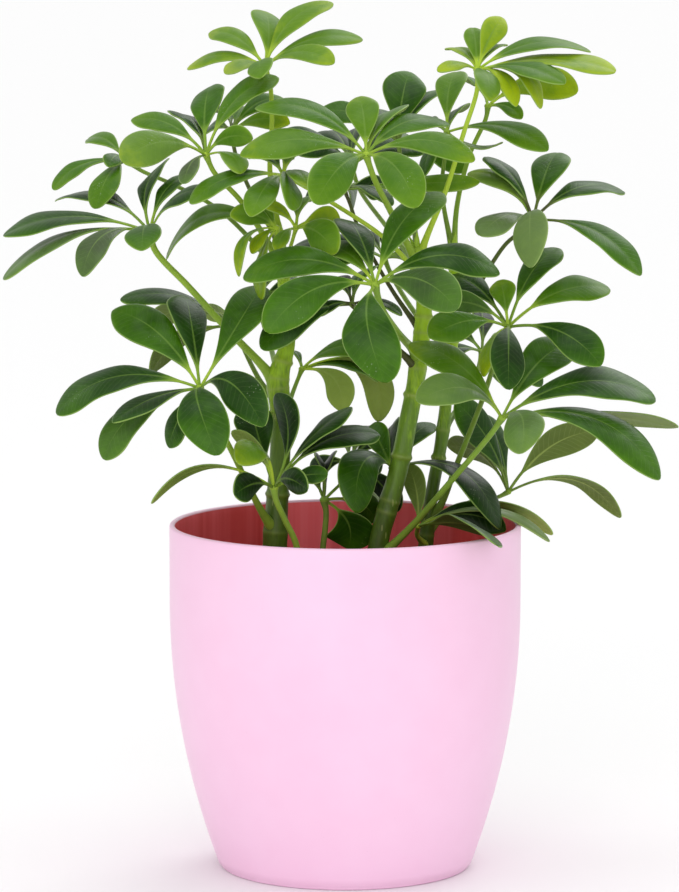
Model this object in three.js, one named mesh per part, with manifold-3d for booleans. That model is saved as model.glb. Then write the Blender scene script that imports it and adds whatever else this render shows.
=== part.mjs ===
// A potted umbrella plant in a tapered plastic pot: three stems in potting soil, with palmate leaves.
// Millimetres, +Z up. The origin is the centre of the pot's base, and the viewer stands on the -Y side.
import * as THREE from "three";
import { mergeVertices } from "three/addons/utils/BufferGeometryUtils.js";
import Module from "manifold-3d";

const wasm = await Module();
wasm.setup();

// Driving sizes of the pot and its soil
const POT_HEIGHT = 154;
const RIM_RADIUS = 78;
const FOOT_RADIUS = 56;
const BELLY_TOP = 120; // above this height the wall is upright
const BELLY_POWER = 2.05; // how fast the wall draws in towards the foot
const WALL = 2.4;
const FLOOR = 4;
const FOOT_EDGE = 1.5; // chamfer at the outside of the foot
const FLOOR_EDGE = 2; // chamfer between the floor and the wall, inside
const OUTER_BENDS = [18, 38, 60, 84, BELLY_TOP]; // heights at which the wall's outside bends
const INNER_BENDS = [32, 76, BELLY_TOP];
const RIM_TURNS = [55, 125]; // degrees round the lip at which its round edge has a point
const GROOVE = { inner: 16, outer: 46, depth: 1.5 }; // moulded ring recess under the base
const SOIL_TOP = 126;
const SOIL_RINGS = [0.82, 0.45, 0]; // rings of the soil's top, as shares of its radius
const SOIL_DOME = 2; // how much higher its middle lies
const SOIL_WAVES = { height: 0.9, alongX: 7, alongY: 6 }; // its lumps, and the lengths of their waves
const FIT_GAP = 0.3; // clear space between pieces that touch
const TURNS = 32; // sides of each turned body
const SLIVER = 0.12; // smaller faces, left where solids are joined, are merged
const SEAM = 1e-4; // points nearer than this to each other are one point

// Driving sizes of the stems and leaves
const STEM_SIDES = 8;
const STEM_STEP = 19; // length of a stem between two of its rings of vertices
const ROOTED_AT = 84; // height of a stem's lower end, inside the soil
const SCAR_STANDS = 0.9; // how far the ring of a leaf scar stands out from its stem
const SCAR_HALF = 5; // half the ring's height, at the stem's axis
const STALK_SIDES = 5;
const STALK_STEPS = 6;
const ROOTED_STEPS = 2; // further steps of a stalk that goes down into the soil
const STALK_ROOTED_AT = 104;
const STALK_SWELL = 0.35; // how much thicker a stalk is at its foot, over its girth
const KNUCKLE = 1.3; // how much wider than its stalk a hub is
const SLENDERNESS = 0.37; // width of a leaflet over its length from the hub
const STALKLET = 0.12; // share of a leaflet's length that is its own thin stalk
const STALKLET_HALF = 0.8; // half the width of that stalk
const BLADE_RISE = 0.75; // half the thickness at the midrib
const MARGIN_DROP = 0.12; // how far the margins hang, over the half width
const BLADE_STATIONS = [0.24, 0.56, 0.88]; // shares of the blade at which it has a section
const CREST = 0.55; // share of a leaflet's length at which its arch is highest
const FACE_LIFT = 0.4; // how far the arch leans from upright towards the blade's face
const ARCH = 0.15; // rise of a leaflet's midrib over its length
const BEND = 0; // how far a leaflet bends aside, over its length
const BLADE_SHAPE = { skew: 1.55, fullness: 0.7 }; // where a blade is widest, and how blunt its ends are
const CURVE_SAMPLES = 400; // places looked at along a curve to measure it

const COLOURS = { pot: 0xf0bfe0, soil: 0x3b2a1e, stem: 0x7f9a3e, leaf: 0x3f7a34 };
const ROUGHNESS = { pot: 0.55, soil: 0.95, stem: 0.6, leaf: 0.4 };

// Where the photograph was taken from, so that a point read in it becomes a place on the plant
const VIEW = {
  away: 2000,
  height: 445,
  aside: -2.5,
  pitch: THREE.MathUtils.degToRad(7.31),
  focalPixels: 4551,
  middleColumn: 339.5,
  middleRow: 446,
};
const EYE = new THREE.Vector3(VIEW.aside, -VIEW.away, VIEW.height);

// The point at [column, row] of the photograph, depth mm behind the pot's axis (minus is nearer)
function at([column, row, depth]) {
  const right = (column - VIEW.middleColumn) / VIEW.focalPixels;
  const up = (VIEW.middleRow - row) / VIEW.focalPixels;
  const ahead = Math.cos(VIEW.pitch) + up * Math.sin(VIEW.pitch);
  const rise = up * Math.cos(VIEW.pitch) - Math.sin(VIEW.pitch);
  const reach = (depth + VIEW.away) / ahead;
  return new THREE.Vector3(EYE.x + reach * right, depth, EYE.z + reach * rise);
}

// Stems: spine points as [column, row, depth, radius], from the pot upwards, and the rings of old leaf scars
const STEMS = [
  {
    name: "stem_left",
    spine: [
      [275, 548, -4, 5.4], [279, 470, -3, 4.6], [281, 410, -2, 4.5], [278, 380, -1, 4.8], [288, 340, 0, 3.2],
      [285, 290, 2, 2.7], [279, 236, 2, 2.2],
    ],
    rings: [0.42, 0.6, 0.72],
  },
  {
    name: "stem_middle",
    spine: [
      [378, 548, -6, 4.4], [397, 475, -5, 4.2], [407, 428, -4, 4.1], [416, 380, -2, 3.8], [422, 330, 0, 3.5],
      [424, 295, 1, 3.6], [416, 246, 2, 3.4],
    ],
    rings: [0.52, 0.66, 0.84],
  },
  {
    name: "stem_right",
    spine: [
      [426, 545, 26, 3.1], [431, 500, 26, 2.9], [443, 430, 26, 2.8], [448, 380, 25, 2.6], [455, 310, 23, 2.4],
      [453, 246, 21, 2.1],
    ],
    rings: [0.5, 0.78],
  },
];

// Compound leaves. from: what carries the stalk. hub: [column, row, depth] where the leaflets meet.
// stalk: points from under the hub down to the carrier, and girth its radius. stalklet: used in place of
// STALKLET where the leaflets' own stalks are longer or shorter.
// leaflets: [column and row of the tip, depth of the tip behind the hub, width shown in pixels (minus where
// the underside shows), then arch, slenderness and bend if not the usual ones].
const LEAVES = [
  {
    name: "leaf_crown_left", from: "stem_left", hub: [265, 66, 14], girth: 1.0,
    stalk: [[270, 84, 13], [272, 118, 11], [270, 172, 8], [277, 232, 3]],
    leaflets: [
      [187, 69, 14, 14], [225, 74, -16, 10], [209, 33, 24, 20], [262, 11, 34, 30], [333, 3, 20, 21],
      [363, 40, 8, 14], [334, 64, -20, 16], [261, 78, -34, 22],
    ],
  },
  {
    name: "leaf_upper_left", from: "stem_left", hub: [206, 155, -14], girth: 1.1, stalklet: 0.2,
    stalk: [[214, 172, -13], [240, 200, -8], [264, 236, 0], [283, 268, 2]],
    leaflets: [
      [131, 120, 14, 22], [172, 114, 32, 20], [212, 86, 34, 34], [278, 77, 18, 22], [122, 162, -32, 33],
      [253, 139, -14, 22], [241, 174, -26, 12, 0.15, 0.37, 0.08], [184, 184, -22, 13],
    ],
  },
  {
    name: "leaf_upper_left_rear", from: "stem_left", hub: [232, 130, 38], girth: 0.9,
    stalk: [[235, 152, 36], [250, 190, 25], [279, 244, 4]],
    leaflets: [
      [284, 99, 14, 20], [290, 124, -10, 20], [214, 112, 34, 16], [252, 112, 36, 16], [204, 136, 22, 12],
    ],
  },
  {
    name: "leaf_left_small", from: "stem_left", hub: [126, 161, 40], girth: 0.9, stalklet: 0.16,
    stalk: [[142, 171, 40], [172, 184, 37], [222, 212, 22], [284, 276, 3]],
    leaflets: [
      [87, 140, 24, 18], [53, 190, -8, 12], [96, 209, -32, 25], [108, 167, -22, 13], [158, 158, 26, 12],
      [140, 142, 30, 12],
    ],
  },
  {
    name: "leaf_left_long", from: "stem_left", hub: [150, 232, 0], girth: 1.4, stalklet: 0.2,
    stalk: [[155, 250, 0], [188, 286, 0], [230, 332, 0], [266, 370, -1], [279, 388, -1]],
    leaflets: [
      [3, 236, -2, 24, 0.13], [3, 280, -12, 12], [83, 277, -38, 23, 0.17, 0.3, -0.12], [142, 251, -44, 30],
      [58, 200, 36, 20], [166, 161, 30, 20, 0.15, 0.37, 0.09], [192, 174, 22, 16], [207, 190, -20, 10],
    ],
  },
  {
    name: "leaf_crown_front", from: "stem_middle", hub: [366, 155, -38], girth: 1.3,
    stalk: [[374, 178, -35], [392, 214, -20], [411, 252, -2], [422, 272, 1]],
    leaflets: [
      [255, 108, 14, 25], [240, 156, -10, 30], [315, 204, -40, 42], [358, 97, 24, 34], [402, 112, 40, 20],
      [449, 124, 24, 22], [475, 161, -6, 25], [416, 208, -38, 40],
    ],
  },
  {
    name: "leaf_crown_rear", from: "stem_middle", hub: [398, 142, 56], girth: 1.0,
    stalk: [[402, 165, 52], [412, 210, 30], [418, 254, 3]],
    leaflets: [
      [410, 72, 22, 44], [442, 90, 26, 18], [318, 112, 6, 22], [345, 122, 34, 14], [463, 173, -14, 20],
      [372, 112, 36, 20],
    ],
  },
  {
    name: "leaf_inner_left", from: "stem_middle", hub: [283, 175, -30], girth: 0.9,
    stalk: [[300, 184, -29], [334, 204, -26], [382, 236, -18], [411, 266, -6], [422, 284, 1]],
    leaflets: [
      [190, 204, -10, 18], [251, 217, -32, 28], [291, 210, -34, 16], [310, 188, -28, 12], [252, 158, 28, 16],
      [281, 148, 36, 20], [304, 150, 28, 14],
    ],
  },
  {
    name: "leaf_young_centre", from: "stem_left", hub: [296, 228, -28], girth: 0.8, stalklet: 0.18,
    stalk: [[292, 242, -24], [286, 262, -12], [284, 278, 2]],
    leaflets: [
      [340, 222, 14, 24], [337, 253, -26, 36], [262, 204, 6, 12], [277, 252, -18, 14], [306, 198, 24, 16],
    ],
  },
  {
    name: "leaf_inner_hanging", from: "stem_left", hub: [276, 228, -16], girth: 1.0,
    stalk: [[278, 240, -14], [281, 250, -6], [281, 256, 2]],
    leaflets: [
      [230, 216, -16, 22], [239, 277, -14, 8, 0.34, 0.25], [262, 300, -15, 14], [252, 254, -10, 13],
      [166, 260, 22, 21, 0.25], [258, 206, 8, 14],
    ],
  },
  {
    name: "leaf_centre_front", from: "stem_middle", hub: [375, 285, -64], girth: 1.4,
    stalk: [[380, 304, -60], [396, 330, -38], [415, 352, -6], [420, 358, -1]],
    leaflets: [
      [243, 279, 6, 36, 0.17], [267, 333, -20, 42, 0.22], [344, 220, 38, 32], [312, 250, 34, 24],
      [443, 193, 28, 36], [500, 274, 10, 34, 0.18], [457, 310, -36, 38],
      [385, 383, -30, 57, 0.28, 0.37, -0.16],
    ],
  },
  {
    name: "leaf_centre_rear", from: "stem_middle", hub: [344, 189, 10], girth: 0.8,
    stalk: [[350, 204, 10], [360, 232, 9], [392, 290, 5], [422, 332, 0]],
    leaflets: [
      [385, 194, 16, 26], [392, 206, -22, 9], [322, 168, 26, 14], [306, 200, 16, 14], [352, 212, 30, 16],
      [480, 182, 2, 17, 0.01, 0.16],
    ],
  },
  {
    name: "leaf_centre_under", from: "stem_middle", hub: [352, 304, -18], girth: 1.0,
    stalk: [[362, 316, -16], [388, 340, -10], [418, 368, -2]],
    leaflets: [
      [262, 350, -12, 30], [318, 316, -6, 12], [374, 268, 26, 16], [402, 316, -8, 9], [330, 280, 26, 20],
      [366, 348, -28, 22],
    ],
  },
  {
    name: "leaf_crown_right", from: "stem_middle", hub: [477, 70, 4], girth: 1.0,
    stalk: [[477, 90, 4], [464, 132, 4], [446, 190, 3], [424, 244, 2], [419, 262, 2]],
    leaflets: [
      [438, 72, -16, 10], [447, 50, 22, 13], [473, 28, 18, 22], [503, 18, 18, 26, 0.15, 0.37, -0.04],
      [591, 52, 8, 16, 0.15], [616, 72, -10, 11, 0.085], [565, 84, -26, 15, 0.11], [489, 101, -34, 23],
      [505, 46, 22, 10], [516, 107, -18, 13, 0.26], [541, 109, -8, 14, 0.3],
    ],
  },
  {
    name: "leaf_crown_right_rear", from: "stem_right", hub: [488, 106, 42], girth: 1.0,
    stalk: [[486, 118, 41], [470, 154, 34], [457, 206, 27], [455, 262, 21]],
    leaflets: [
      [578, 92, -14, 30], [522, 119, -12, 14], [470, 84, 34, 14],
    ],
  },
  {
    name: "leaf_upper_right_inner", from: "stem_right", hub: [447, 132, 22], girth: 0.9,
    stalk: [[446, 148, 22], [442, 190, 20], [449, 256, 20]],
    leaflets: [
      [457, 72, 30, 30], [548, 151, -18, 19], [466, 110, 26, 8], [503, 142, -8, 6, -0.17],
      [424, 177, -22, 12], [420, 128, 24, 12],
    ],
  },
  {
    name: "leaf_right_upper", from: "stem_right", hub: [533, 220, 6], girth: 0.9, stalklet: 0.17,
    stalk: [[520, 232, 8], [505, 245, 12], [478, 286, 20], [455, 322, 23]],
    leaflets: [
      [485, 157, 20, 18], [468, 173, 20, 21], [480, 236, -32, 17, 0.15], [558, 153, 36, 36],
      [624, 192, 28, 19], [641, 276, -18, 26, 0.17], [531, 268, -42, 36, 0.3],
    ],
  },
  {
    name: "leaf_right_middle", from: "stem_right", hub: [508, 327, -14], girth: 1.1, stalklet: 0.22,
    stalk: [[500, 346, -10], [483, 398, 4], [457, 464, 18], [440, 506, 24], [431, 520, 26]],
    leaflets: [
      [558, 248, 26, 28], [610, 289, 20, 32], [601, 366, -26, 34], [508, 390, -40, 36, 0.22],
      [429, 338, -28, 30], [450, 276, 26, 26], [440, 306, 6, 26], [500, 280, 12, 27],
      [484, 377, -22, 15, 0.2],
    ],
  },
  {
    name: "leaf_right_low_front", from: "stem_middle", hub: [502, 418, -42], girth: 1.25,
    stalk: [[491, 434, -40], [452, 480, -30], [410, 528, -14], [380, 560, -6]],
    leaflets: [
      [521, 454, -42, 42, 0.18, 0.42, 0.1], [660, 480, -8, 30, 0.2], [656, 400, 14, 36, 0.19],
      [570, 344, 34, 44], [409, 344, 17, 34], [417, 402, -26, 27, 0.23], [677, 428, 36, -13, 0.05],
    ],
  },
  {
    name: "leaf_right_low_rear", from: "stem_right", hub: [508, 492, 44], girth: 0.9, stalklet: 0.18,
    stalk: [[498, 497, 42], [470, 502, 36], [442, 518, 30], [431, 534, 27]],
    leaflets: [
      [621, 518, 6, -12, 0.24, 0.25], [599, 430, -12, -36, 0.15], [455, 402, -14, 30, 0.08],
      [484, 414, 20, 20, 0.08], [447, 446, 24, -16],
    ],
  },
  {
    name: "leaf_inner_right_arched", from: "stem_middle", hub: [392, 468, 14], girth: 1.0, stalklet: 0.06,
    stalk: [[392, 482, 9], [391, 500, -4]],
    leaflets: [
      [500, 530, -26, 22, 0.27], [434, 424, 22, 22], [372, 424, 24, 26, 0.08],
      [356, 513, -38, 44, 0.25, 0.37, -0.15], [394, 424, 30, 18],
    ],
  },
  {
    name: "leaf_over_rim", from: "stem_right", hub: [418, 526, 4], girth: 0.9,
    stalk: [[417, 535, 12], [423, 546, 26]],
    leaflets: [
      [497, 546, -78, -15, 0.085, 0.24], [553, 535, 6, -11, 0.195, 0.22], [550, 542, -8, 7, 0.205, 0.14],
      [506, 531, -4, 32, 0.15], [408, 464, 10, -22, 0.06],
    ],
  },
  {
    name: "leaf_low_left_inner", from: "soil", hub: [274, 488, -36], girth: 1.3, stalklet: 0.26,
    stalk: [[276, 500, -36], [285, 520, -34], [297, 548, -32]],
    leaflets: [
      [151, 504, -8, -8, 0.24, 0.2], [237, 463, -30, 6, 0.3], [231, 432, 6, -16], [234, 495, -30, 30, 0.1],
      [352, 407, 14, 17, 0.08], [380, 435, 20, 23], [328, 475, -4, 18, 0.1], [308, 490, -26, 28, 0.2],
      [277, 393, 14, 26, 0.06, 0.37, -0.22], [250, 404, 34, 40, 0.06],
    ],
  },
  {
    name: "leaf_low_centre", from: "soil", hub: [324, 500, -12], girth: 1.3, stalklet: 0.22,
    stalk: [[326, 512, -12], [325, 530, -12], [323, 548, -12]],
    leaflets: [
      [381, 457, 24, 30, 0.08], [318, 456, 22, 10], [304, 474, 22, 14], [332, 456, 26, 13],
      [376, 522, 24, 30], [348, 549, 10, 50, 0.2],
    ],
  },
  {
    name: "leaf_left_low_front", from: "stem_left", hub: [200, 388, -48], girth: 1.2,
    stalk: [[206, 404, -46], [228, 444, -38], [262, 512, -12], [276, 532, -4]],
    leaflets: [
      [56, 414, 6, 28, 0.19], [112, 311, 28, 43], [185, 296, 38, 38, 0.15, 0.37, 0.05],
      [262, 286, 38, 42, 0.15, 0.37, -0.15], [264, 427, -36, 40, 0.29],
      [217, 456, -42, 50, 0.26, 0.37, -0.12], [113, 423, -26, 20, 0.08], [104, 460, -8, 28],
      [169, 448, 10, 24, 0.05],
    ],
  },
  {
    name: "leaf_left_low_rear", from: "stem_left", hub: [235, 326, 34], girth: 1.0, stalklet: 0.16,
    stalk: [[240, 340, 30], [262, 384, 8], [279, 408, -2]],
    leaflets: [
      [120, 300, 2, 15, 0.13], [154, 322, 26, -20], [150, 374, -8, -22], [206, 318, 30, -14],
      [300, 322, 8, 14],
    ],
  },
  {
    name: "leaf_between_stems", from: "stem_left", hub: [302, 369, 24], girth: 0.9, stalklet: 0.15,
    stalk: [[296, 384, 20], [286, 410, 4], [281, 418, -2]],
    leaflets: [
      [372, 350, -12, 18], [378, 382, 12, 11], [342, 412, -24, -30, 0.2],
      [379, 422, 22, -24, 0.3, 0.37, -0.14], [290, 350, 12, 8],
    ],
  },
  {
    name: "leaf_rear_upper", from: "stem_middle", hub: [352, 166, 86], girth: 1.0,
    stalk: [[358, 186, 82], [386, 226, 50], [417, 270, 3]],
    leaflets: [
      [296, 154, -26, 20], [270, 138, 14, 18], [320, 134, 40, 22], [366, 128, 44, 26], [414, 140, 28, 22],
      [424, 154, -16, 8],
    ],
  },
  {
    name: "leaf_rear_middle", from: "stem_right", hub: [384, 258, 84], girth: 1.1,
    stalk: [[392, 276, 78], [420, 320, 48], [450, 354, 24]],
    leaflets: [
      [324, 262, -22, 20], [290, 250, 18, 20], [351, 238, 40, 20], [400, 234, 38, 22], [436, 266, 24, 20],
      [444, 288, -22, 20],
    ],
  },
  {
    name: "leaf_rear_left", from: "stem_left", hub: [258, 300, 78], girth: 1.1,
    stalk: [[262, 318, 72], [272, 352, 38], [282, 378, -1]],
    leaflets: [
      [236, 314, 20, 18], [260, 268, 40, 18], [284, 270, 40, 24], [314, 292, 22, 22], [294, 326, -14, 20],
      [242, 328, -8, 16],
    ],
  },
  {
    name: "leaf_rear_right", from: "stem_right", hub: [482, 352, 86], girth: 1.1,
    stalk: [[478, 370, 80], [462, 402, 50], [446, 430, 26]],
    leaflets: [
      [432, 366, -22, 20], [430, 330, 24, 22], [474, 306, 44, 24], [512, 348, 26, 18], [542, 386, 10, 20],
      [506, 386, -34, 20],
    ],
  },
  {
    name: "leaf_rear_low", from: "stem_middle", hub: [350, 462, 66], girth: 1.0,
    stalk: [[356, 474, 60], [378, 500, 26], [386, 512, -5]],
    leaflets: [
      [312, 478, 12, 22], [330, 432, 38, 24], [372, 428, 38, 24], [402, 440, 22, 24], [398, 512, -10, 26],
    ],
  },
];

// Closes a geometry's seams, so that it can be joined and cut as a solid
function solidOf(geometry) {
  const bare = geometry.clone();
  bare.deleteAttribute("normal");
  bare.deleteAttribute("uv");
  const merged = mergeVertices(bare, SEAM);
  return new wasm.Manifold(
    new wasm.Mesh({
      numProp: 3,
      vertProperties: merged.attributes.position.array,
      triVerts: new Uint32Array(merged.index.array),
    }),
  );
}

function geometryOf(solid) {
  const mesh = solid.getMesh();
  const geometry = new THREE.BufferGeometry();
  geometry.setAttribute("position", new THREE.BufferAttribute(mesh.vertProperties, 3));
  geometry.setIndex(new THREE.BufferAttribute(mesh.triVerts, 1));
  geometry.computeVertexNormals();
  return geometry;
}

// A piece's mesh, with its name and the material of its kind
function named(name, geometry, kind) {
  const look = { color: COLOURS[kind], roughness: ROUGHNESS[kind], metalness: 0 };
  const mesh = new THREE.Mesh(geometry, new THREE.MeshStandardMaterial(look));
  mesh.name = name;
  return mesh;
}

// A profile of [radius, height] points turned about the upright axis
function turned(profile) {
  const points = profile.map(([radius, height]) => new THREE.Vector2(radius, height));
  return new THREE.LatheGeometry(points, TURNS).rotateX(Math.PI / 2);
}

// The pot's outer radius: upright near the rim, drawn in to the foot as a power of the depth below BELLY_TOP
function potRadius(height) {
  const below = Math.max(0, BELLY_TOP - height) / BELLY_TOP;
  return RIM_RADIUS - (RIM_RADIUS - FOOT_RADIUS) * below ** BELLY_POWER;
}

// The wall's profile between two heights, a skin's thickness inside the pot's outer face
function wallProfile(low, high, bends, skin) {
  const heights = [low, ...bends.filter((height) => height > low && height < high), high];
  return heights.map((height) => [potRadius(height) - skin, height]);
}

function potGeometry() {
  const lip = WALL / 2;
  const outer = wallProfile(FOOT_EDGE, POT_HEIGHT - lip, OUTER_BENDS, 0);
  const inner = wallProfile(FLOOR + FLOOR_EDGE, POT_HEIGHT - lip, INNER_BENDS, WALL).reverse();
  const rim = RIM_TURNS.map((degrees) => {
    const angle = THREE.MathUtils.degToRad(degrees);
    return [RIM_RADIUS - lip + lip * Math.cos(angle), POT_HEIGHT - lip + lip * Math.sin(angle)];
  });
  return turned([
    [0, 0],
    [GROOVE.inner, 0],
    [GROOVE.inner + GROOVE.depth, GROOVE.depth],
    [GROOVE.outer - GROOVE.depth, GROOVE.depth],
    [GROOVE.outer, 0],
    [potRadius(0) - FOOT_EDGE, 0],
    ...outer,
    ...rim,
    ...inner,
    [potRadius(0) - WALL - FLOOR_EDGE, FLOOR],
    [0, FLOOR],
  ]);
}

// The soil fills the pot, with a low dome on top that two crossed waves make lumpy
function soilGeometry() {
  const skin = WALL + FIT_GAP;
  const base = FLOOR + FIT_GAP;
  const sides = wallProfile(base + FLOOR_EDGE, SOIL_TOP, INNER_BENDS, skin);
  const edge = potRadius(SOIL_TOP) - skin;
  const top = SOIL_RINGS.map((share) => [edge * share, SOIL_TOP + SOIL_DOME * (1 - share * share)]);
  const geometry = turned([[0, base], [potRadius(0) - skin - FLOOR_EDGE, base], ...sides, ...top]);
  const places = geometry.attributes.position;
  for (let i = 0; i < places.count; i += 1) {
    const [x, y, z] = [places.getX(i), places.getY(i), places.getZ(i)];
    if (z > SOIL_TOP) {
      const wave = Math.sin(x / SOIL_WAVES.alongX) * Math.cos(y / SOIL_WAVES.alongY);
      places.setZ(i, z + SOIL_WAVES.height * wave);
    }
  }
  return geometry;
}

// A tube along a curve: a unit section is extruded, then each ring is drawn out to its own radius
function tube(curve, radiusAt, sides, steps) {
  const corners = Array.from({ length: sides }, (_, k) => {
    const angle = (2 * Math.PI * k) / sides;
    return new THREE.Vector2(Math.cos(angle), Math.sin(angle));
  });
  const section = new THREE.Shape(corners);
  const geometry = new THREE.ExtrudeGeometry(section, { steps, extrudePath: curve, bevelEnabled: false });
  const centres = curve.getSpacedPoints(steps);
  const places = geometry.attributes.position;
  const place = new THREE.Vector3();
  for (let i = 0; i < places.count; i += 1) {
    place.fromBufferAttribute(places, i);
    const gaps = centres.map((centre) => centre.distanceTo(place));
    const ring = gaps.indexOf(Math.min(...gaps));
    place.sub(centres[ring]).multiplyScalar(radiusAt(ring / steps)).add(centres[ring]);
    places.setXYZ(i, place.x, place.y, place.z);
  }
  return geometry;
}

// A stem's curve and radius, from its foot in the soil to its tip
function stemShape(stem) {
  const seen = stem.spine.map(at);
  const foot = new THREE.Vector3(seen[0].x, seen[0].y, ROOTED_AT);
  const neck = new THREE.Vector3(seen[0].x, seen[0].y, SOIL_TOP);
  const curve = new THREE.CatmullRomCurve3([foot, neck, ...seen], false, "centripetal");
  const radii = [stem.spine[0][3], stem.spine[0][3], ...stem.spine.map((point) => point[3])];
  const lengths = curve.getLengths(CURVE_SAMPLES);
  const marks = radii.map((_, i) => {
    const sample = Math.round((CURVE_SAMPLES * i) / (radii.length - 1));
    return lengths[sample] / lengths[CURVE_SAMPLES];
  });
  const radiusAt = (share) => {
    const next = Math.min(marks.length - 1, 1 + marks.findLastIndex((mark) => mark <= share));
    const part = (share - marks[next - 1]) / (marks[next] - marks[next - 1]);
    return radii[next - 1] + (radii[next] - radii[next - 1]) * part;
  };
  return { ...stem, curve, radiusAt, steps: Math.round(curve.getLength() / STEM_STEP) };
}

// A stem with its leaf scars, drawn out by extra all round
function stemSolid(stem, extra) {
  let solid = solidOf(tube(stem.curve, (share) => stem.radiusAt(share) + extra, STEM_SIDES, stem.steps));
  for (const share of stem.rings) {
    const radius = stem.radiusAt(share) + SCAR_STANDS + extra;
    const points = [[0, -SCAR_HALF], [radius, 0], [0, SCAR_HALF]].map(([x, y]) => new THREE.Vector2(x, y));
    const ring = new THREE.LatheGeometry(points, STEM_SIDES);
    ring.applyQuaternion(
      new THREE.Quaternion().setFromUnitVectors(new THREE.Vector3(0, 1, 0), stem.curve.getTangentAt(share)),
    );
    const centre = stem.curve.getPointAt(share);
    solid = solid.add(solidOf(ring.translate(centre.x, centre.y, centre.z)));
  }
  return solid;
}

// Half width of a blade, as a share of its greatest, at a share of its length: widest at six tenths, blunt tip
function outline(share) {
  return Math.sin(Math.PI * share ** BLADE_SHAPE.skew) ** BLADE_SHAPE.fullness;
}

// One leaflet: an arched blade with a thin stalk, whose four-cornered sections run from the hub to the tip.
// The blade is turned about its own length until it shows the width that was read, and leans its face upwards.
function leafletGeometry(hub, leaf, reading) {
  const [column, row, behind, shown, arch = ARCH, slender = SLENDERNESS, bend = BEND] = reading;
  const { hub: [, , hubDepth], stalklet = STALKLET } = leaf;
  const tip = at([column, row, hubDepth + behind]);
  const middle = hub.clone().lerp(tip, 0.5);
  const length = hub.distanceTo(tip);
  const along = tip.clone().sub(hub).normalize();
  const toEye = EYE.clone().sub(middle);
  const seen = (Math.abs(shown) * toEye.length()) / VIEW.focalPixels;
  toEye.normalize();
  const square = toEye.clone().addScaledVector(along, -toEye.dot(along)).normalize();
  const across = new THREE.Vector3().crossVectors(along, square);
  const width = Math.max(length * slender, seen);
  const turn = Math.acos(seen / width);
  const lean = Math.sin(turn) * (across.z < 0 ? -1 : 1);
  const face = square.multiplyScalar(Math.cos(turn) * Math.sign(shown)).addScaledVector(across, lean);
  const lift = new THREE.Vector3(0, 0, 1).addScaledVector(along, -along.z).addScaledVector(face, FACE_LIFT);
  const aside = new THREE.Vector3().crossVectors(face, along);
  const crest = hub.clone().lerp(tip, CREST).addScaledVector(lift.normalize(), 2 * arch * length);
  crest.addScaledVector(aside.normalize(), 2 * bend * length);
  const midrib = new THREE.QuadraticBezierCurve3(hub, crest, tip);

  const sections = [[stalklet, STALKLET_HALF]].concat(
    BLADE_STATIONS.map((share) => [stalklet + (1 - stalklet) * share, (width / 2) * outline(share)]),
  );
  const corners = [hub];
  for (const [share, half] of sections) {
    const centre = midrib.getPoint(share);
    const side = new THREE.Vector3().crossVectors(face, midrib.getTangent(share)).normalize();
    const up = new THREE.Vector3().crossVectors(midrib.getTangent(share), side);
    const margin = centre.clone().addScaledVector(up, -MARGIN_DROP * (half - STALKLET_HALF));
    corners.push(
      margin.clone().addScaledVector(side, half),
      centre.clone().addScaledVector(up, BLADE_RISE),
      margin.clone().addScaledVector(side, -half),
      centre.clone().addScaledVector(up, -BLADE_RISE),
    );
  }
  corners.push(tip);

  // Each side of the midrib is split alike on the upper and the under face
  const faces = [];
  for (let ring = 0; ring < sections.length - 1; ring += 1) {
    const [left, top, right, under] = [1, 2, 3, 4].map((corner) => 4 * ring + corner);
    faces.push([left, top, left + 4], [left + 4, top, top + 4]);
    faces.push([top, right, right + 4], [top + 4, top, right + 4]);
    faces.push([right, under, right + 4], [right + 4, under, under + 4]);
    faces.push([under, left, left + 4], [under + 4, under, left + 4]);
  }
  const end = corners.length - 1;
  for (let corner = 0; corner < 4; corner += 1) {
    const next = (corner + 1) % 4;
    faces.push([0, 1 + next, 1 + corner]);
    faces.push([end, end - 4 + corner, end - 4 + next]);
  }
  const geometry = new THREE.BufferGeometry().setFromPoints(corners);
  geometry.setIndex(faces.flat());
  return geometry;
}

// The point of a stem's axis nearest to a place
function nearestOn(stem, place) {
  const places = stem.curve.getSpacedPoints(CURVE_SAMPLES);
  return places.reduce((a, b) => (b.distanceTo(place) < a.distanceTo(place) ? b : a));
}

// The stalk's curve: from the hub down to the axis of its stem, or straight down into the soil
function stalkCurve(leaf, stems) {
  const points = [leaf.hub, ...leaf.stalk].map(at);
  const last = points[points.length - 1];
  if (leaf.from === "soil") {
    points.push(new THREE.Vector3(last.x, last.y, SOIL_TOP));
    points.push(new THREE.Vector3(last.x, last.y, STALK_ROOTED_AT));
  } else {
    points[points.length - 1] = nearestOn(stems.get(leaf.from), last);
  }
  return new THREE.CatmullRomCurve3(points, false, "centripetal");
}

// A leaf's stalk, drawn out by extra all round: thin at the hub and thicker at its foot
function stalkSolid(leaf, curve, extra) {
  const steps = leaf.from === "soil" ? STALK_STEPS + ROOTED_STEPS : STALK_STEPS;
  const radiusAt = (share) => leaf.girth * (1 + STALK_SWELL * share ** 2) + extra;
  return solidOf(tube(curve, radiusAt, STALK_SIDES, steps));
}

// A whole compound leaf: stalk, hub and leaflets in one, cut back to clear the stem that carries it
function leafSolid(leaf, stems, cutters) {
  const hub = at(leaf.hub);
  const knuckle = new THREE.OctahedronGeometry(leaf.girth + KNUCKLE, 0).translate(hub.x, hub.y, hub.z);
  let solid = stalkSolid(leaf, stalkCurve(leaf, stems), 0).add(solidOf(knuckle));
  for (const leaflet of leaf.leaflets) {
    solid = solid.add(solidOf(leafletGeometry(hub, leaf, leaflet)));
  }
  const cutter = cutters.get(leaf.from);
  return (cutter ? solid.subtract(cutter) : solid).simplify(SLIVER);
}

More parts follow.
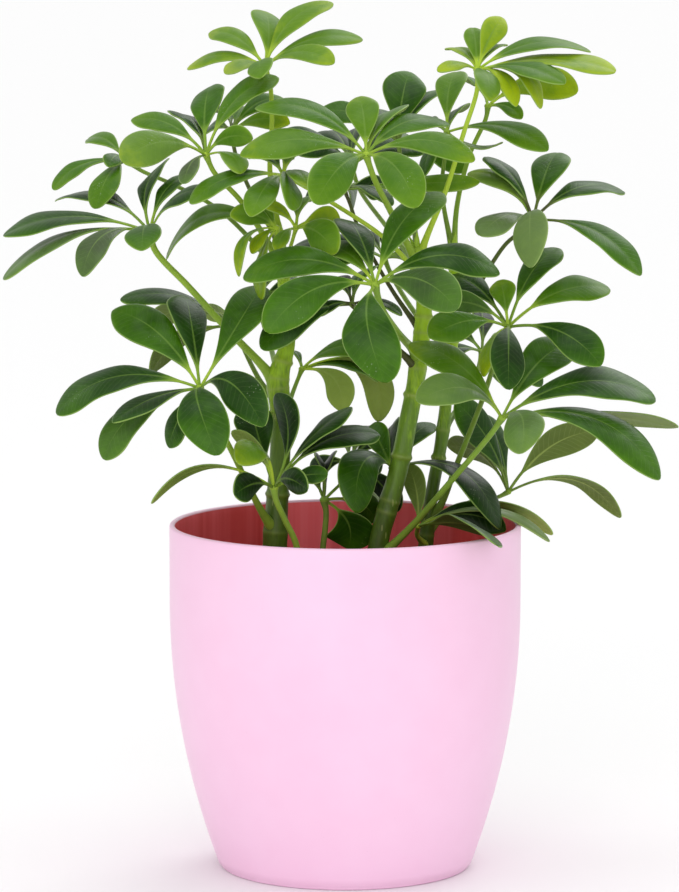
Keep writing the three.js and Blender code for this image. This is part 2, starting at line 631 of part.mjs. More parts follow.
// The hole in the soil for a stalk: the stalk itself, a little thicker and deeper
function stalkHole(leaf, stems) {
  const curve = stalkCurve(leaf, stems);
  curve.points[curve.points.length - 1].z -= FIT_GAP;
  return stalkSolid(leaf, curve, FIT_GAP);
}

const plant = new THREE.Group();
plant.add(named("pot", potGeometry(), "pot"));

const stems = new Map(STEMS.map((stem) => [stem.name, stemShape(stem)]));
const cutters = new Map([...stems].map(([name, stem]) => [name, stemSolid(stem, FIT_GAP)]));
for (const [name, stem] of stems) {
  plant.add(named(name, geometryOf(stemSolid(stem, 0)), "stem"));
}

let soil = solidOf(soilGeometry());
for (const cutter of cutters.values()) {
  soil = soil.subtract(cutter.translate(0, 0, -FIT_GAP)).subtract(cutter);
}
for (const leaf of LEAVES.filter((one) => one.from === "soil")) {
  soil = soil.subtract(stalkHole(leaf, stems));
}
plant.add(named("potting_soil", geometryOf(soil.simplify(SLIVER)), "soil"));

for (const leaf of LEAVES) {
  plant.add(named(leaf.name, geometryOf(leafSolid(leaf, stems, cutters)), "leaf"));
}

export default plant;
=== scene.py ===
"""A potted umbrella plant: palmate glossy leaves on three green stems, in a tapered pink pot.

Sizes are millimetres in the classes and metres in the meshes. +Z is up, the origin is the centre of
the pot's base, and the viewer stands on the -Y side.
"""

import logging
import math
from dataclasses import dataclass, field
from enum import Enum
from typing import Any, Mapping, NamedTuple, Sequence

import bpy
import numpy as np
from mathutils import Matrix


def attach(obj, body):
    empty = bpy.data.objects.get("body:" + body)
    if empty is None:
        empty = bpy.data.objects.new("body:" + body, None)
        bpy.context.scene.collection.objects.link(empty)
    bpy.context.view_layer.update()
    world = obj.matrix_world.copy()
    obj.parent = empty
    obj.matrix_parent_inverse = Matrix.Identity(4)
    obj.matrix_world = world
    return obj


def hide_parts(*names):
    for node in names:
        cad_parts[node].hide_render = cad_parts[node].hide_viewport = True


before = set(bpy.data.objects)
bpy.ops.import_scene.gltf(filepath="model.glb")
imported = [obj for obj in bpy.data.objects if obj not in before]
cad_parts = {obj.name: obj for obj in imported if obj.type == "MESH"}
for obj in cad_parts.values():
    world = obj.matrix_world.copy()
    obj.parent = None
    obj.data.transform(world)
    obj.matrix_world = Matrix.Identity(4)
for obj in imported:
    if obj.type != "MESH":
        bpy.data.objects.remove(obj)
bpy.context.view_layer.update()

LOG = logging.getLogger("umbrella_plant")
MM = 0.001
FULL_TURN = 2 * math.pi
UP = np.array([0.0, 0.0, 1.0])
BACK = np.array([0.0, 1.0, 0.0])
SOIL_TOP = 126.0
STRETCH_SAMPLES = 40
Colour = tuple[float, float, float, float]
Stops = Sequence[tuple[float, Colour]]
Socket = bpy.types.NodeSocket
Node = bpy.types.Node
Tree = bpy.types.NodeTree
Material = bpy.types.Material


# Where the photograph was taken from


@dataclass(frozen=True)
class View:
    """The photograph's camera, which turns a place in the picture into a place on the plant.

    A place is [column, row, depth]: two pixels of the picture and the millimetres behind the pot's
    axis, minus where it is nearer to the viewer.
    """

    away: float = 2000.0
    height: float = 445.0
    aside: float = -2.5
    pitch_deg: float = 7.31
    focal: float = 4551.0
    middle_column: float = 339.5
    middle_row: float = 446.0
    rows: float = 892.0
    sensor: float = 36.0

    @property
    def eye(self) -> np.ndarray:
        """The camera's own place."""
        return np.array([self.aside, -self.away, self.height])

    def place(self, reading: Sequence[float]) -> np.ndarray:
        """The point on the sight line of a pixel at a depth behind the pot's axis.

        Args:
            reading: Column, row and depth.

        Returns:
            The point in millimetres.
        """
        column, row, depth = reading
        pitch = math.radians(self.pitch_deg)
        right = (column - self.middle_column) / self.focal
        up = (self.middle_row - row) / self.focal
        ahead = math.cos(pitch) + up * math.sin(pitch)
        rise = up * math.cos(pitch) - math.sin(pitch)
        reach = (depth + self.away) / ahead
        return np.array([self.aside + reach * right, depth, self.height + reach * rise])

    def places(self, readings: Sequence[Sequence[float]]) -> np.ndarray:
        """The points of several readings, one row each."""
        return np.array([self.place(reading[:3]) for reading in readings])


VIEW = View()


# Surfaces


def unit(vectors: np.ndarray) -> np.ndarray:
    """Each vector divided by its length."""
    return vectors / np.linalg.norm(vectors, axis=-1, keepdims=True)


def smooth_step(low: float, high: float, value: np.ndarray) -> np.ndarray:
    """0 below low, 1 above high, and the cubic 3x^2 - 2x^3 between them."""
    share = np.clip((value - low) / (high - low), 0.0, 1.0)
    return share * share * (3.0 - 2.0 * share)


def bell(distance: np.ndarray, reach: float) -> np.ndarray:
    """A bump that is 1 at no distance and falls off as exp(-(distance / reach)^2)."""
    return np.exp(-((distance / reach) ** 2))


def circle(count: int) -> np.ndarray:
    """The angles of points spaced evenly round a circle."""
    return np.linspace(0.0, FULL_TURN, count, endpoint=False)


def ball(rings: int, around: int, gap: float) -> np.ndarray:
    """A ball of radius 1, whose points are (sin a cos b, sin a sin b, cos a).

    Args:
        rings: How many rings of points there are from near one pole to near the other.
        around: How many points a ring has.
        gap: How far the end rings stand off the poles, as a share of the half turn.

    Returns:
        The points, shaped (rings, around, 3).
    """
    tilt = np.linspace(gap, 1.0 - gap, rings)[:, None] * math.pi
    turn = circle(around)
    height = np.repeat(np.cos(tilt), around, axis=1)
    return np.stack([np.sin(tilt) * np.cos(turn), np.sin(tilt) * np.sin(turn), height], axis=-1)


def tube(path: np.ndarray, side: np.ndarray, heading: np.ndarray, radius: np.ndarray) -> np.ndarray:
    """Rings round a path: its points plus radius times (cos b side + sin b front).

    Args:
        path: The middle of each ring.
        side: The unit direction of each ring's first point.
        heading: The path's unit direction, which crossed with side gives front.
        radius: The radius at each point, shaped (rings, points on a ring).

    Returns:
        The points, shaped (rings, points on a ring, 3).
    """
    front = np.cross(heading, side)
    angle = circle(radius.shape[1])[None, :, None]
    out = np.cos(angle) * side[:, None] + np.sin(angle) * front[:, None]
    return path[:, None] + radius[..., None] * out


def path_through(points: np.ndarray, count: int) -> tuple[np.ndarray, np.ndarray, float]:
    """A smooth path through points, in steps of equal length.

    Each stretch between two points is a cubic whose end slopes follow the centripetal rule: the
    knots are spaced by the square root of the distance between the points. The ends run straight
    on. The cubics are sampled closely, and places at equal lengths are read off between samples.

    Args:
        points: The points to pass through, one row each.
        count: How many places the path gets.

    Returns:
        The places, the unit directions there, and the whole length.
    """
    ends = np.vstack([2 * points[:1] - points[1:2], points, 2 * points[-1:] - points[-2:-1]])
    steps = np.linalg.norm(np.diff(ends, axis=0), axis=1)[:, None] ** 0.5
    before, own, after = steps[:-2], steps[1:-1], steps[2:]
    p0, p1, p2, p3 = ends[:-3], ends[1:-2], ends[2:-1], ends[3:]
    start = own * ((p1 - p0) / before - (p2 - p0) / (before + own) + (p2 - p1) / own)
    finish = own * ((p2 - p1) / own - (p3 - p1) / (own + after) + (p3 - p2) / after)
    t = np.linspace(0.0, 1.0, STRETCH_SAMPLES)[None, :, None]
    square = -3 * p1 + 3 * p2 - 2 * start - finish
    cube = 2 * p1 - 2 * p2 + start + finish
    curve = p1[:, None] + start[:, None] * t + square[:, None] * t**2 + cube[:, None] * t**3
    samples = np.vstack([curve[:, :-1].reshape(-1, 3), curve[-1:, -1]])
    lengths = np.concatenate([[0.0], np.cumsum(np.linalg.norm(np.diff(samples, axis=0), axis=1))])
    wanted = np.linspace(0.0, lengths[-1], count)
    places = np.stack([np.interp(wanted, lengths, samples[:, axis]) for axis in range(3)], axis=1)
    return places, unit(np.gradient(places, axis=0)), float(lengths[-1])


@dataclass
class Shell:
    """A closed surface: points in millimetres, quads, triangles, and values at the points."""

    points: np.ndarray
    quads: np.ndarray
    triangles: np.ndarray
    values: dict[str, np.ndarray] = field(default_factory=dict)


def loft(rings: np.ndarray, values: Mapping[str, np.ndarray]) -> Shell:
    """Skins one or many bodies over their rings, and closes each end with a fan to a pole.

    Neighbouring rings are joined by quads. Each body's volume is the sum of its faces' signed
    volumes to the body's first point, and where it is negative its faces are turned round.

    Args:
        rings: Ring points of each body, shaped (bodies, rings, points on a ring, 3).
        values: Named values at those points, shaped like rings.

    Returns:
        The shell of all the bodies.
    """
    bodies, count, around, _ = rings.shape
    size = count * around + 2
    index = np.arange(count * around).reshape(count, around)
    turned_on = np.roll(index, -1, axis=1)
    quads = np.stack([index[:-1], turned_on[:-1], turned_on[1:], index[1:]], axis=-1).reshape(-1, 4)
    first = np.stack([turned_on[0], index[0], np.full(around, size - 2)], axis=-1)
    last = np.stack([index[-1], turned_on[-1], np.full(around, size - 1)], axis=-1)
    triangles = np.concatenate([first, last])

    def with_poles(array: np.ndarray) -> np.ndarray:
        """Each body's ring values in one row, with the means of both end rings after them."""
        flat = array.reshape(bodies, count * around, -1)
        poles = np.stack([array[:, 0].mean(axis=1), array[:, -1].mean(axis=1)], axis=1)
        return np.concatenate([flat, poles], axis=1)

    points = with_poles(rings)
    corners = np.concatenate([quads[:, [0, 1, 2]], quads[:, [0, 2, 3]], triangles])
    a, b, c = (points[:, corners[:, k]] - points[:, :1] for k in range(3))
    volumes = np.einsum("bfi,bfi->b", a, np.cross(b, c))
    shift = (np.arange(bodies) * size)[:, None, None]

    def placed(faces: np.ndarray) -> np.ndarray:
        """One body's faces, repeated for every body and turned where its volume is negative."""
        every = np.where(volumes[:, None, None] < 0, faces[None, :, ::-1], faces[None]) + shift
        return every.reshape(-1, faces.shape[1])

    named = {name: with_poles(array).reshape(bodies * size, -1) for name, array in values.items()}
    return Shell(points.reshape(-1, 3), placed(quads), placed(triangles), named)


def stand(name: str, data: bpy.types.ID) -> bpy.types.Object:
    """Makes an object of a mesh, a lamp or a camera, and links it to the scene."""
    made = bpy.data.objects.new(name, data)
    bpy.context.scene.collection.objects.link(made)
    return made


def make_piece(name: str, shells: Sequence[Shell], finish: Material) -> bpy.types.Object:
    """Puts shells into one smooth mesh object at the origin.

    Args:
        name: The piece's name.
        shells: Its closed surfaces, which all carry the same named values.
        finish: Its material.

    Returns:
        The linked object.
    """
    sizes = np.cumsum([0] + [len(shell.points) for shell in shells])
    points = np.concatenate([shell.points for shell in shells]) * MM
    faces: list[list[int]] = []
    for shell, shift in zip(shells, sizes):
        faces += (shell.quads + shift).tolist() + (shell.triangles + shift).tolist()
    mesh = bpy.data.meshes.new(name)
    mesh.from_pydata(points.tolist(), [], faces)
    for key in shells[0].values:
        data = np.concatenate([shell.values[key] for shell in shells]).astype(np.float32)
        attribute = mesh.attributes.new(key, "FLOAT_VECTOR", "POINT")
        attribute.data.foreach_set("vector", data.ravel())
    mesh.polygons.foreach_set("use_smooth", np.ones(len(mesh.polygons), bool))
    mesh.update()
    mesh.materials.append(finish)
    return stand(name, mesh)


def hand_over(piece: bpy.types.Object, slot: str, *nodes: str) -> None:
    """Seats a piece on the plant's one body, and hides and names the solids it stands for."""
    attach(piece, "root")
    if nodes:
        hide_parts(*nodes)
    stands_for = ", ".join(nodes) or "detail"
    LOG.info("%s: %d faces for %s", piece.name, len(piece.data.polygons), stands_for)


# Shader nodes


def linear(red: float, green: float, blue: float) -> Colour:
    """A screen colour of 0 to 255 as linear light: ((c + 0.055) / 1.055)^2.4 above the dark toe."""

    def channel(value: float) -> float:
        """One of the three."""
        share = value / 255.0
        return share / 12.92 if share <= 0.04045 else ((share + 0.055) / 1.055) ** 2.4

    return (channel(red), channel(green), channel(blue), 1.0)


BLACK = linear(0, 0, 0)


class Fade(NamedTuple):
    """Takes low to high onto first to last along 3x^2 - 2x^3, and holds it outside them."""

    low: float
    high: float
    first: float = 0.0
    last: float = 1.0


class NodeSheet:
    """Writes nodes into one shader tree. Every value it takes is a socket or a plain number."""

    def __init__(self, tree: Tree) -> None:
        """Takes the tree to write into."""
        self.tree = tree

    def node(self, kind: str, inputs: Mapping[Any, Any] | None = None, **settings: Any) -> Node:
        """Adds a node.

        Args:
            kind: The node's type without its Shader Node prefix.
            inputs: What each input takes: a socket to link or a plain value.
            **settings: The node's own properties.

        Returns:
            The new node.
        """
        made = self.tree.nodes.new("ShaderNode" + kind)
        for key, value in settings.items():
            setattr(made, key, value)
        for key, value in (inputs or {}).items():
            self.feed(made.inputs[key], value)
        return made

    def feed(self, socket: Socket, value: Any) -> None:
        """Links a socket, or sets a plain value."""
        if isinstance(value, Socket):
            self.tree.links.new(value, socket)
        else:
            socket.default_value = value

    def maths(self, operation: str, *values: Any) -> Socket:
        """One arithmetic step."""
        return self.node("Math", dict(enumerate(values)), operation=operation).outputs[0]

    def add(self, first: Any, second: Any) -> Socket:
        """The first value plus the second."""
        return self.maths("ADD", first, second)

    def less(self, first: Any, second: Any) -> Socket:
        """The first value minus the second."""
        return self.maths("SUBTRACT", first, second)

    def times(self, first: Any, second: Any) -> Socket:
        """The first value times the second."""
        return self.maths("MULTIPLY", first, second)

    def fade(self, value: Any, span: Fade) -> Socket:
        """Runs a value through a fade."""
        inputs = dict(zip(("Value", "From Min", "From Max", "To Min", "To Max"), (value, *span)))
        return self.node("MapRange", inputs, interpolation_type="SMOOTHSTEP").outputs["Result"]

    def noise(self, place: Any, scale: Any) -> Socket:
        """Soft noise around 0.5, with about scale waves to the metre."""
        return self.node("TexNoise", {"Vector": place, "Scale": scale}).outputs[0]

    def drawn_out(self, place: Any, squeeze: float) -> Socket:
        """A place whose height is squeezed, so that a pattern on it is drawn out upright."""
        return self.node("Mapping", {"Vector": place, "Scale": (1.0, 1.0, squeeze)}).outputs[0]

    def blend(self, share: Any, first: Any, second: Any) -> Socket:
        """Mixes two colours."""
        return self.node("Mix", {0: share, 6: first, 7: second}, data_type="RGBA").outputs[2]

    def ramp(self, value: Any, stops: Stops) -> Socket:
        """Reads a colour off a row of colour stops."""
        made = self.node("ValToRGB", {"Fac": value})
        bar = made.color_ramp
        while len(bar.elements) < len(stops):
            bar.elements.new(1.0)
        for element, (place, colour) in zip(bar.elements, stops):
            element.position = place
            element.color = colour
        return made.outputs["Color"]

    def kept(self, name: str) -> tuple[Socket, ...]:
        """The three values of a named attribute of the mesh."""
        made = self.node("Attribute", attribute_name=name)
        return tuple(self.node("SeparateXYZ", {0: made.outputs["Vector"]}).outputs)

    def place(self) -> Socket:
        """The point on the piece, in its own metres."""
        return self.node("TexCoord").outputs["Object"]

    def use(self, group: Tree, values: Sequence[Any]) -> Socket:
        """Places a node group, feeds its inputs in order and gives its first output."""
        made = self.node("Group", node_tree=group)
        for socket, value in zip(made.inputs, values):
            self.feed(socket, value)
        return made.outputs[0]


@dataclass(frozen=True)
class Mottle:
    """Uneven patches: about how many there are to the metre, and how much they differ."""

    count: float
    depth: float = 1.0


@dataclass(frozen=True)
class Specks:
    """Small round marks, one to a cell at most.

    The sizes are cells to the metre, a mark's radius over a cell's width, and the share of marked
    cells.
    """

    cells: float
    radius: float
    share: float


@dataclass(frozen=True)
class Tint:
    """The colour that a mark takes on, and how strongly."""

    share: float
    colour: Colour

    def over(self, sheet: NodeSheet, mark: Any, skin: Any) -> Socket:
        """The skin's colour with the mark tinted."""
        return sheet.blend(sheet.times(mark, self.share), skin, self.colour)


@dataclass(frozen=True)
class Relief:
    """How a bump shows a height: its strength, and the metres that a height of 1 stands for."""

    strength: float
    metres: float


def new_group(
    name: str, takes: Mapping[str, str], gives: str
) -> tuple[Tree, NodeSheet, tuple[Socket, ...], Socket]:
    """An empty node group with named sockets.

    Args:
        name: The group's name.
        takes: The kind of each named input.
        gives: Name of its number output.

    Returns:
        The group, its sheet, its inputs as seen from within, and its output's socket.
    """
    group = bpy.data.node_groups.new(name, "ShaderNodeTree")
    for label, kind in takes.items():
        group.interface.new_socket(label, in_out="INPUT", socket_type="NodeSocket" + kind)
    group.interface.new_socket(gives, in_out="OUTPUT", socket_type="NodeSocketFloat")
    source = group.nodes.new("NodeGroupInput")
    sink = group.nodes.new("NodeGroupOutput")
    inner = tuple(source.outputs[label] for label in takes)
    return group, NodeSheet(group), inner, sink.inputs[gives]


class Groups:
    """The node groups that several finishes share, each built once."""

    coarse_share: float = 0.65
    fine_share: float = 0.35
    finer: float = 5.3

    def __init__(self) -> None:
        """Builds the groups."""
        self.mottle_tree = self.mottle_group()
        self.specks_tree = self.specks_group()

    def mottle_group(self) -> Tree:
        """Coarse noise and fine noise, added in their shares and set around 0, times a depth."""
        takes = {"Place": "Vector", "Count": "Float", "Depth": "Float"}
        group, sheet, (place, count, depth), result = new_group("mottle", takes, "Mottle")
        coarse = sheet.times(sheet.noise(place, count), self.coarse_share)
        fine = sheet.times(sheet.noise(place, sheet.times(count, self.finer)), self.fine_share)
        sheet.feed(result, sheet.times(sheet.less(sheet.add(coarse, fine), 0.5), depth))
        return group

    def specks_group(self) -> Tree:
        """The near parts of Voronoi cells, kept in the cells whose own number is low."""
        takes = {"Place": "Vector", "Cells": "Float", "Radius": "Float", "Share": "Float"}
        group, sheet, (place, cells, radius, share), result = new_group("specks", takes, "Specks")
        voronoi = sheet.node("TexVoronoi", {"Vector": place, "Scale": cells})
        near = sheet.maths("LESS_THAN", voronoi.outputs["Distance"], radius)
        number = sheet.node("SeparateColor", {0: voronoi.outputs["Color"]}).outputs[0]
        sheet.feed(result, sheet.times(near, sheet.maths("LESS_THAN", number, share)))
        return group

    def mottle(self, sheet: NodeSheet, place: Any, kind: Mottle) -> Socket:
        """Uneven patches around 0 in a material."""
        return sheet.use(self.mottle_tree, (place, kind.count, kind.depth))

    def specks(self, sheet: NodeSheet, place: Any, kind: Specks) -> Socket:
        """Marks in a material: 1 on them and 0 elsewhere."""
        return sheet.use(self.specks_tree, (place, kind.cells, kind.radius, kind.share))


def new_material(name: str) -> tuple[Material, NodeSheet, Node]:
    """An empty material with a Principled shader.

    Args:
        name: The material's name.

    Returns:
        The material, its sheet and its shader.
    """
    material = bpy.data.materials.new(name)
    material.use_nodes = True
    material.node_tree.nodes.clear()
    sheet = NodeSheet(material.node_tree)
    shader = sheet.node("BsdfPrincipled")
    sheet.node("OutputMaterial", {"Surface": shader.outputs[0]})
    return material, sheet, shader


def dress(
    sheet: NodeSheet, shader: Node, skin: Any, rough: Any, gloss: float, height: Any, relief: Relief
) -> None:
    """Feeds a skin to its shader.

    Args:
        sheet: The material's sheet.
        shader: Its Principled shader.
        skin: The colour.
        rough: The roughness.
        gloss: The specular level.
        height: What the bump reads.
        relief: How the bump shows it.
    """
    bump = {"Strength": relief.strength, "Distance": relief.metres, "Height": height}
    sheet.feed(shader.inputs["Base Color"], skin)
    sheet.feed(shader.inputs["Roughness"], rough)
    sheet.feed(shader.inputs["Specular IOR Level"], gloss)
    sheet.feed(shader.inputs["Normal"], sheet.node("Bump", bump).outputs[0])


# Finishes


# The row of greens from new to old; its dark end also serves as painted shade on shaded leaves.
TONE_COLOURS = (
    (0.0, linear(156, 180, 20)),
    (0.25, linear(97, 137, 26)),
    (0.5, linear(65, 110, 11)),
    (0.75, linear(33, 69, 7)),
    (1.0, linear(14, 27, 9)),
)
UNDER_COLOURS = (
    (0.0, linear(150, 172, 78)),
    (0.5, linear(106, 128, 54)),
    (1.0, linear(78, 94, 44)),
)
STALK_COLOURS = (
    (0.0, linear(178, 206, 64)),
    (0.5, linear(126, 160, 58)),
    (0.75, linear(102, 124, 52)),
    (1.0, linear(80, 84, 48)),
)
STEM_COLOURS = (
    (0.0, linear(76, 80, 26)),
    (0.3, linear(66, 92, 22)),
    (0.6, linear(100, 136, 28)),
    (0.78, linear(158, 196, 28)),
    (1.0, linear(160, 198, 42)),
)
SOIL_COLOURS = (
    (0.0, linear(26, 17, 12)),
    (0.45, linear(44, 30, 21)),
    (0.8, linear(66, 47, 33)),
    (1.0, linear(92, 70, 50)),
)


@dataclass(frozen=True)
class LeafFinish:
    """The skin of a compound leaf: glossy green above, matt and paler below, yellow-green stalks.

    The mesh carries the values blade (distance from the blade's foot, distance aside from the
    midrib, distance from the margin, in millimetres), look (how dark the green is, from 0 new to 1
    old and partly painted shade, 1 on the under side, 1 on the stalks) and reach (share of the
    blade's length, a random number per leaflet, how thick the painted sheen is). The skin is
    younger towards the tip and the margin. On the upper side dust has settled in patches, and the
    painted sheen, a grey veil that stands in for the glint of soft light, lies over it. The numbers
    of rougher say how much patches, stalks and chance add to the roughness, and those of heights
    how high veins, grain and patches stand.
    """

    name: str
    roughness: float
    dust_share: float = 0.22
    dust_colour: Colour = linear(196, 206, 180)
    dust: Specks = Specks(1100.0, 0.3, 0.3)
    dust_patches: float = 62.0
    dusty: Fade = Fade(0.6, 0.7, 0.04, 1.0)
    # A grey painted sheen: it stands in for the glint of soft light on the upper side.
    painted_sheen: Tint = Tint(1.0, linear(168, 172, 138))
    mottle: Mottle = Mottle(55.0, 0.5)
    upper_side: Fade = Fade(0.35, 0.65, 1.0, 0.0)
    younger_tip: Fade = Fade(0.55, 1.0, 0.0, 0.14)
    younger_margin: Fade = Fade(0.0, 3.0, 0.07, 0.0)
    vein_gap: float = 3.4
    vein_slope: float = 0.9
    vein_wobble: float = 1.2
    wobbles: float = 180.0
    vein_crest: Fade = Fade(0.8, 1.0)
    vein_end: Fade = Fade(0.4, 2.5)
    vein_above: Tint = Tint(0.05, linear(132, 160, 92))
    vein_below: Tint = Tint(0.16, linear(150, 168, 100))
    rib_half: Fade = Fade(0.0, 0.95, 0.75, 0.22)
    rib_side: Fade = Fade(0.35, 1.0, 1.0, 0.0)
    rib_end: Fade = Fade(0.5, 0.98, 1.0, 0.15)
    rib_above: Tint = Tint(0.5, linear(112, 146, 60))
    rib_below: Tint = Tint(0.8, linear(148, 168, 84))
    margin: Fade = Fade(0.2, 0.6, 1.0, 0.0)
    margin_tint: Tint = Tint(0.7, linear(146, 176, 90))
    under_roughness: float = 0.56
    rougher: tuple[float, float, float] = (0.25, 0.08, 0.05)
    gloss: float = 0.16
    grain: float = 1500.0
    heights: tuple[float, float, float] = (-0.35, 0.25, 1.4)
    relief: Relief = Relief(0.35, 0.0003)

    def veins(self, sheet: NodeSheet, place: Socket, blade: Sequence[Socket]) -> Socket:
        """Side veins: high cos(2 pi (foot - slope |aside| + wobble) / gap), off the margin."""
        foot, aside, margin = blade
        run = sheet.less(foot, sheet.times(sheet.maths("ABSOLUTE", aside), self.vein_slope))
        run = sheet.add(run, sheet.times(sheet.noise(place, self.wobbles), self.vein_wobble))
        wave = sheet.maths("COSINE", sheet.times(run, FULL_TURN / self.vein_gap))
        return sheet.times(sheet.fade(wave, self.vein_crest), sheet.fade(margin, self.vein_end))

    def midrib(self, sheet: NodeSheet, share: Socket, aside: Socket) -> Socket:
        """The midrib, whose half width in millimetres falls off and which fades towards the tip."""
        half = sheet.fade(share, self.rib_half)
        off = sheet.maths("DIVIDE", sheet.maths("ABSOLUTE", aside), half)
        return sheet.times(sheet.fade(off, self.rib_side), sheet.fade(share, self.rib_end))

    def build(self, groups: Groups) -> Material:
        """Builds the material."""
        material, sheet, shader = new_material(self.name)
        age, under, stalk = sheet.kept("look")
        share, chance, painted_sheen = sheet.kept("reach")
        blade = sheet.kept("blade")
        place = sheet.place()
        above = sheet.fade(under, self.upper_side)
        patches = groups.mottle(sheet, place, self.mottle)
        # How dark the green is: the leaf's tone, which is painted shade on shaded leaves, plus
        # patches.
        darker = sheet.add(age, patches)
        darker = sheet.less(darker, sheet.fade(share, self.younger_tip))
        darker = sheet.less(darker, sheet.fade(blade[2], self.younger_margin))

        vein = self.veins(sheet, place, blade)
        rib = self.midrib(sheet, share, blade[1])
        upper = self.vein_above.over(sheet, vein, sheet.ramp(darker, TONE_COLOURS))
        upper = self.rib_above.over(sheet, rib, upper)
        lower = self.vein_below.over(sheet, vein, sheet.ramp(darker, UNDER_COLOURS))
        lower = self.rib_below.over(sheet, rib, lower)
        skin = sheet.blend(above, lower, upper)
        skin = self.margin_tint.over(sheet, sheet.fade(blade[2], self.margin), skin)
        settled = sheet.fade(sheet.noise(place, self.dust_patches), self.dusty)
        dust = sheet.times(sheet.times(groups.specks(sheet, place, self.dust), settled), above)
        skin = Tint(self.dust_share, self.dust_colour).over(sheet, dust, skin)
        # Painted sheen: a grey veil over the upper side, for the glint of light.
        skin = self.painted_sheen.over(sheet, sheet.times(painted_sheen, above), skin)
        skin = sheet.blend(stalk, skin, sheet.ramp(darker, STALK_COLOURS))

        rough = sheet.fade(above, Fade(0.0, 1.0, self.under_roughness, self.roughness))
        for value, share_of in zip((patches, stalk, chance), self.rougher):
            rough = sheet.add(rough, sheet.times(value, share_of))
        grain = sheet.noise(place, self.grain)
        height: Any = 0.0
        for value, share_of in zip((vein, grain, patches), self.heights):
            height = sheet.add(height, sheet.times(value, share_of))
        dress(sheet, shader, skin, rough, self.gloss, height, self.relief)
        return material


@dataclass(frozen=True)
class StemFinish:
    """Green stems with pale pores and lighter joints, browner towards the soil.

    The mesh carries the value bark: 1 at the scars, the height's share, and 1 at the growing tip.
    """

    name: str = "stem_bark"
    squeeze: float = 0.22
    streaks: Mottle = Mottle(260.0, 0.6)
    pores: Specks = Specks(620.0, 0.24, 0.16)
    pore_height: float = 0.6
    paler_up: Fade = Fade(0.1, 0.8, 0.12, 0.6)
    scar_tint: Tint = Tint(1.0, linear(150, 168, 78))
    pore_tint: Tint = Tint(0.4, linear(172, 180, 112))
    tip_tint: Tint = Tint(0.6, linear(150, 178, 60))
    roughness: float = 0.42
    streak_rougher: float = 0.3
    gloss: float = 0.35
    relief: Relief = Relief(0.5, 0.0004)

    def build(self, groups: Groups) -> Material:
        """Builds the material."""
        material, sheet, shader = new_material(self.name)
        scar, share, tip = sheet.kept("bark")
        place = sheet.drawn_out(sheet.place(), self.squeeze)
        streaks = groups.mottle(sheet, place, self.streaks)
        pores = groups.specks(sheet, place, self.pores)
        ringed = sheet.times(scar, sheet.fade(share, self.paler_up))
        skin = sheet.ramp(sheet.add(share, streaks), STEM_COLOURS)
        skin = self.scar_tint.over(sheet, ringed, skin)
        skin = self.pore_tint.over(sheet, pores, skin)
        skin = self.tip_tint.over(sheet, tip, skin)
        rough = sheet.add(self.roughness, sheet.times(streaks, self.streak_rougher))
        height = sheet.add(streaks, sheet.times(pores, self.pore_height))
        dress(sheet, shader, skin, rough, self.gloss, height, self.relief)
        return material


@dataclass(frozen=True)
class PlasticFinish:
    """Pale pink satin plastic. The deep rose inside is painted light: light through the thin wall,
    on plastic that is one colour. The inside also carries a painted glow, dimmed by painted shade
    on the left, on the right and in streaks.

    The mesh carries the value wall: 1 inside the pot.
    """

    name: str = "pot_plastic"
    outer: tuple[Colour, Colour] = (linear(250, 204, 232), linear(252, 209, 236))
    # The inside's deep rose is painted light: the plastic is one pink, and the rose stands for
    # light through the wall.
    inner: tuple[Colour, Colour] = (linear(232, 74, 72), linear(254, 106, 114))
    # The colour of the painted glow on the inside, which is no lamp.
    through: Colour = (0.12, 0.028, 0.034, 1.0)
    # Painted shade on the glow: on the left, on the right where leaves shade it, and in streaks.
    left_shade: Fade = Fade(-0.034, -0.018, 0.1, 1.0)
    right_shade: Fade = Fade(0.012, 0.022, 1.0, 0.12)
    flow_shade: Fade = Fade(-0.15, 0.15, 0.7, 1.0)
    clouds: Mottle = Mottle(14.0)
    cloud_span: Fade = Fade(-0.2, 0.2)
    squeeze: float = 0.03
    flow: Mottle = Mottle(46.0)
    flow_span: Fade = Fade(-0.15, 0.15)
    marks: Specks = Specks(420.0, 0.1, 0.02)
    mark_tint: Tint = Tint(0.25, linear(214, 170, 196))
    roughness: float = 0.38
    cloud_rougher: float = 0.12
    gloss: float = 0.4
    grain: float = 2400.0
    relief: Relief = Relief(0.12, 0.0001)

    def painted_wall_glow(self, sheet: NodeSheet, place: Socket, flow: Socket, inside: Socket) -> Socket:
        """A painted glow on the inside, for light through the wall, dimmed by painted shade on the
        left and the right, where leaves shade it, and in streaks.
        """
        across = sheet.node("SeparateXYZ", {0: place}).outputs[0]
        lit = sheet.times(sheet.fade(across, self.left_shade), sheet.fade(across, self.right_shade))
        lit = sheet.times(sheet.times(lit, sheet.fade(flow, self.flow_shade)), inside)
        return sheet.blend(lit, BLACK, self.through)

    def build(self, groups: Groups) -> Material:
        """Builds the material."""
        material, sheet, shader = new_material(self.name)
        inside = sheet.kept("wall")[0]
        place = sheet.place()
        clouds = groups.mottle(sheet, place, self.clouds)
        flow = groups.mottle(sheet, sheet.drawn_out(place, self.squeeze), self.flow)
        outer = sheet.blend(sheet.fade(clouds, self.cloud_span), *self.outer)
        # The inside's painted deep rose, in streaks.
        inner = sheet.blend(sheet.fade(flow, self.flow_span), *self.inner)
        skin = sheet.blend(inside, outer, inner)
        skin = self.mark_tint.over(sheet, groups.specks(sheet, place, self.marks), skin)
        # Emission: the painted glow of light through the wall, on the inside only.
        sheet.feed(shader.inputs["Emission Color"], self.painted_wall_glow(sheet, place, flow, inside))
        sheet.feed(shader.inputs["Emission Strength"], 1.0)
        rough = sheet.add(self.roughness, sheet.times(clouds, self.cloud_rougher))
        height = sheet.noise(place, self.grain)
        dress(sheet, shader, skin, rough, self.gloss, height, self.relief)
        return material


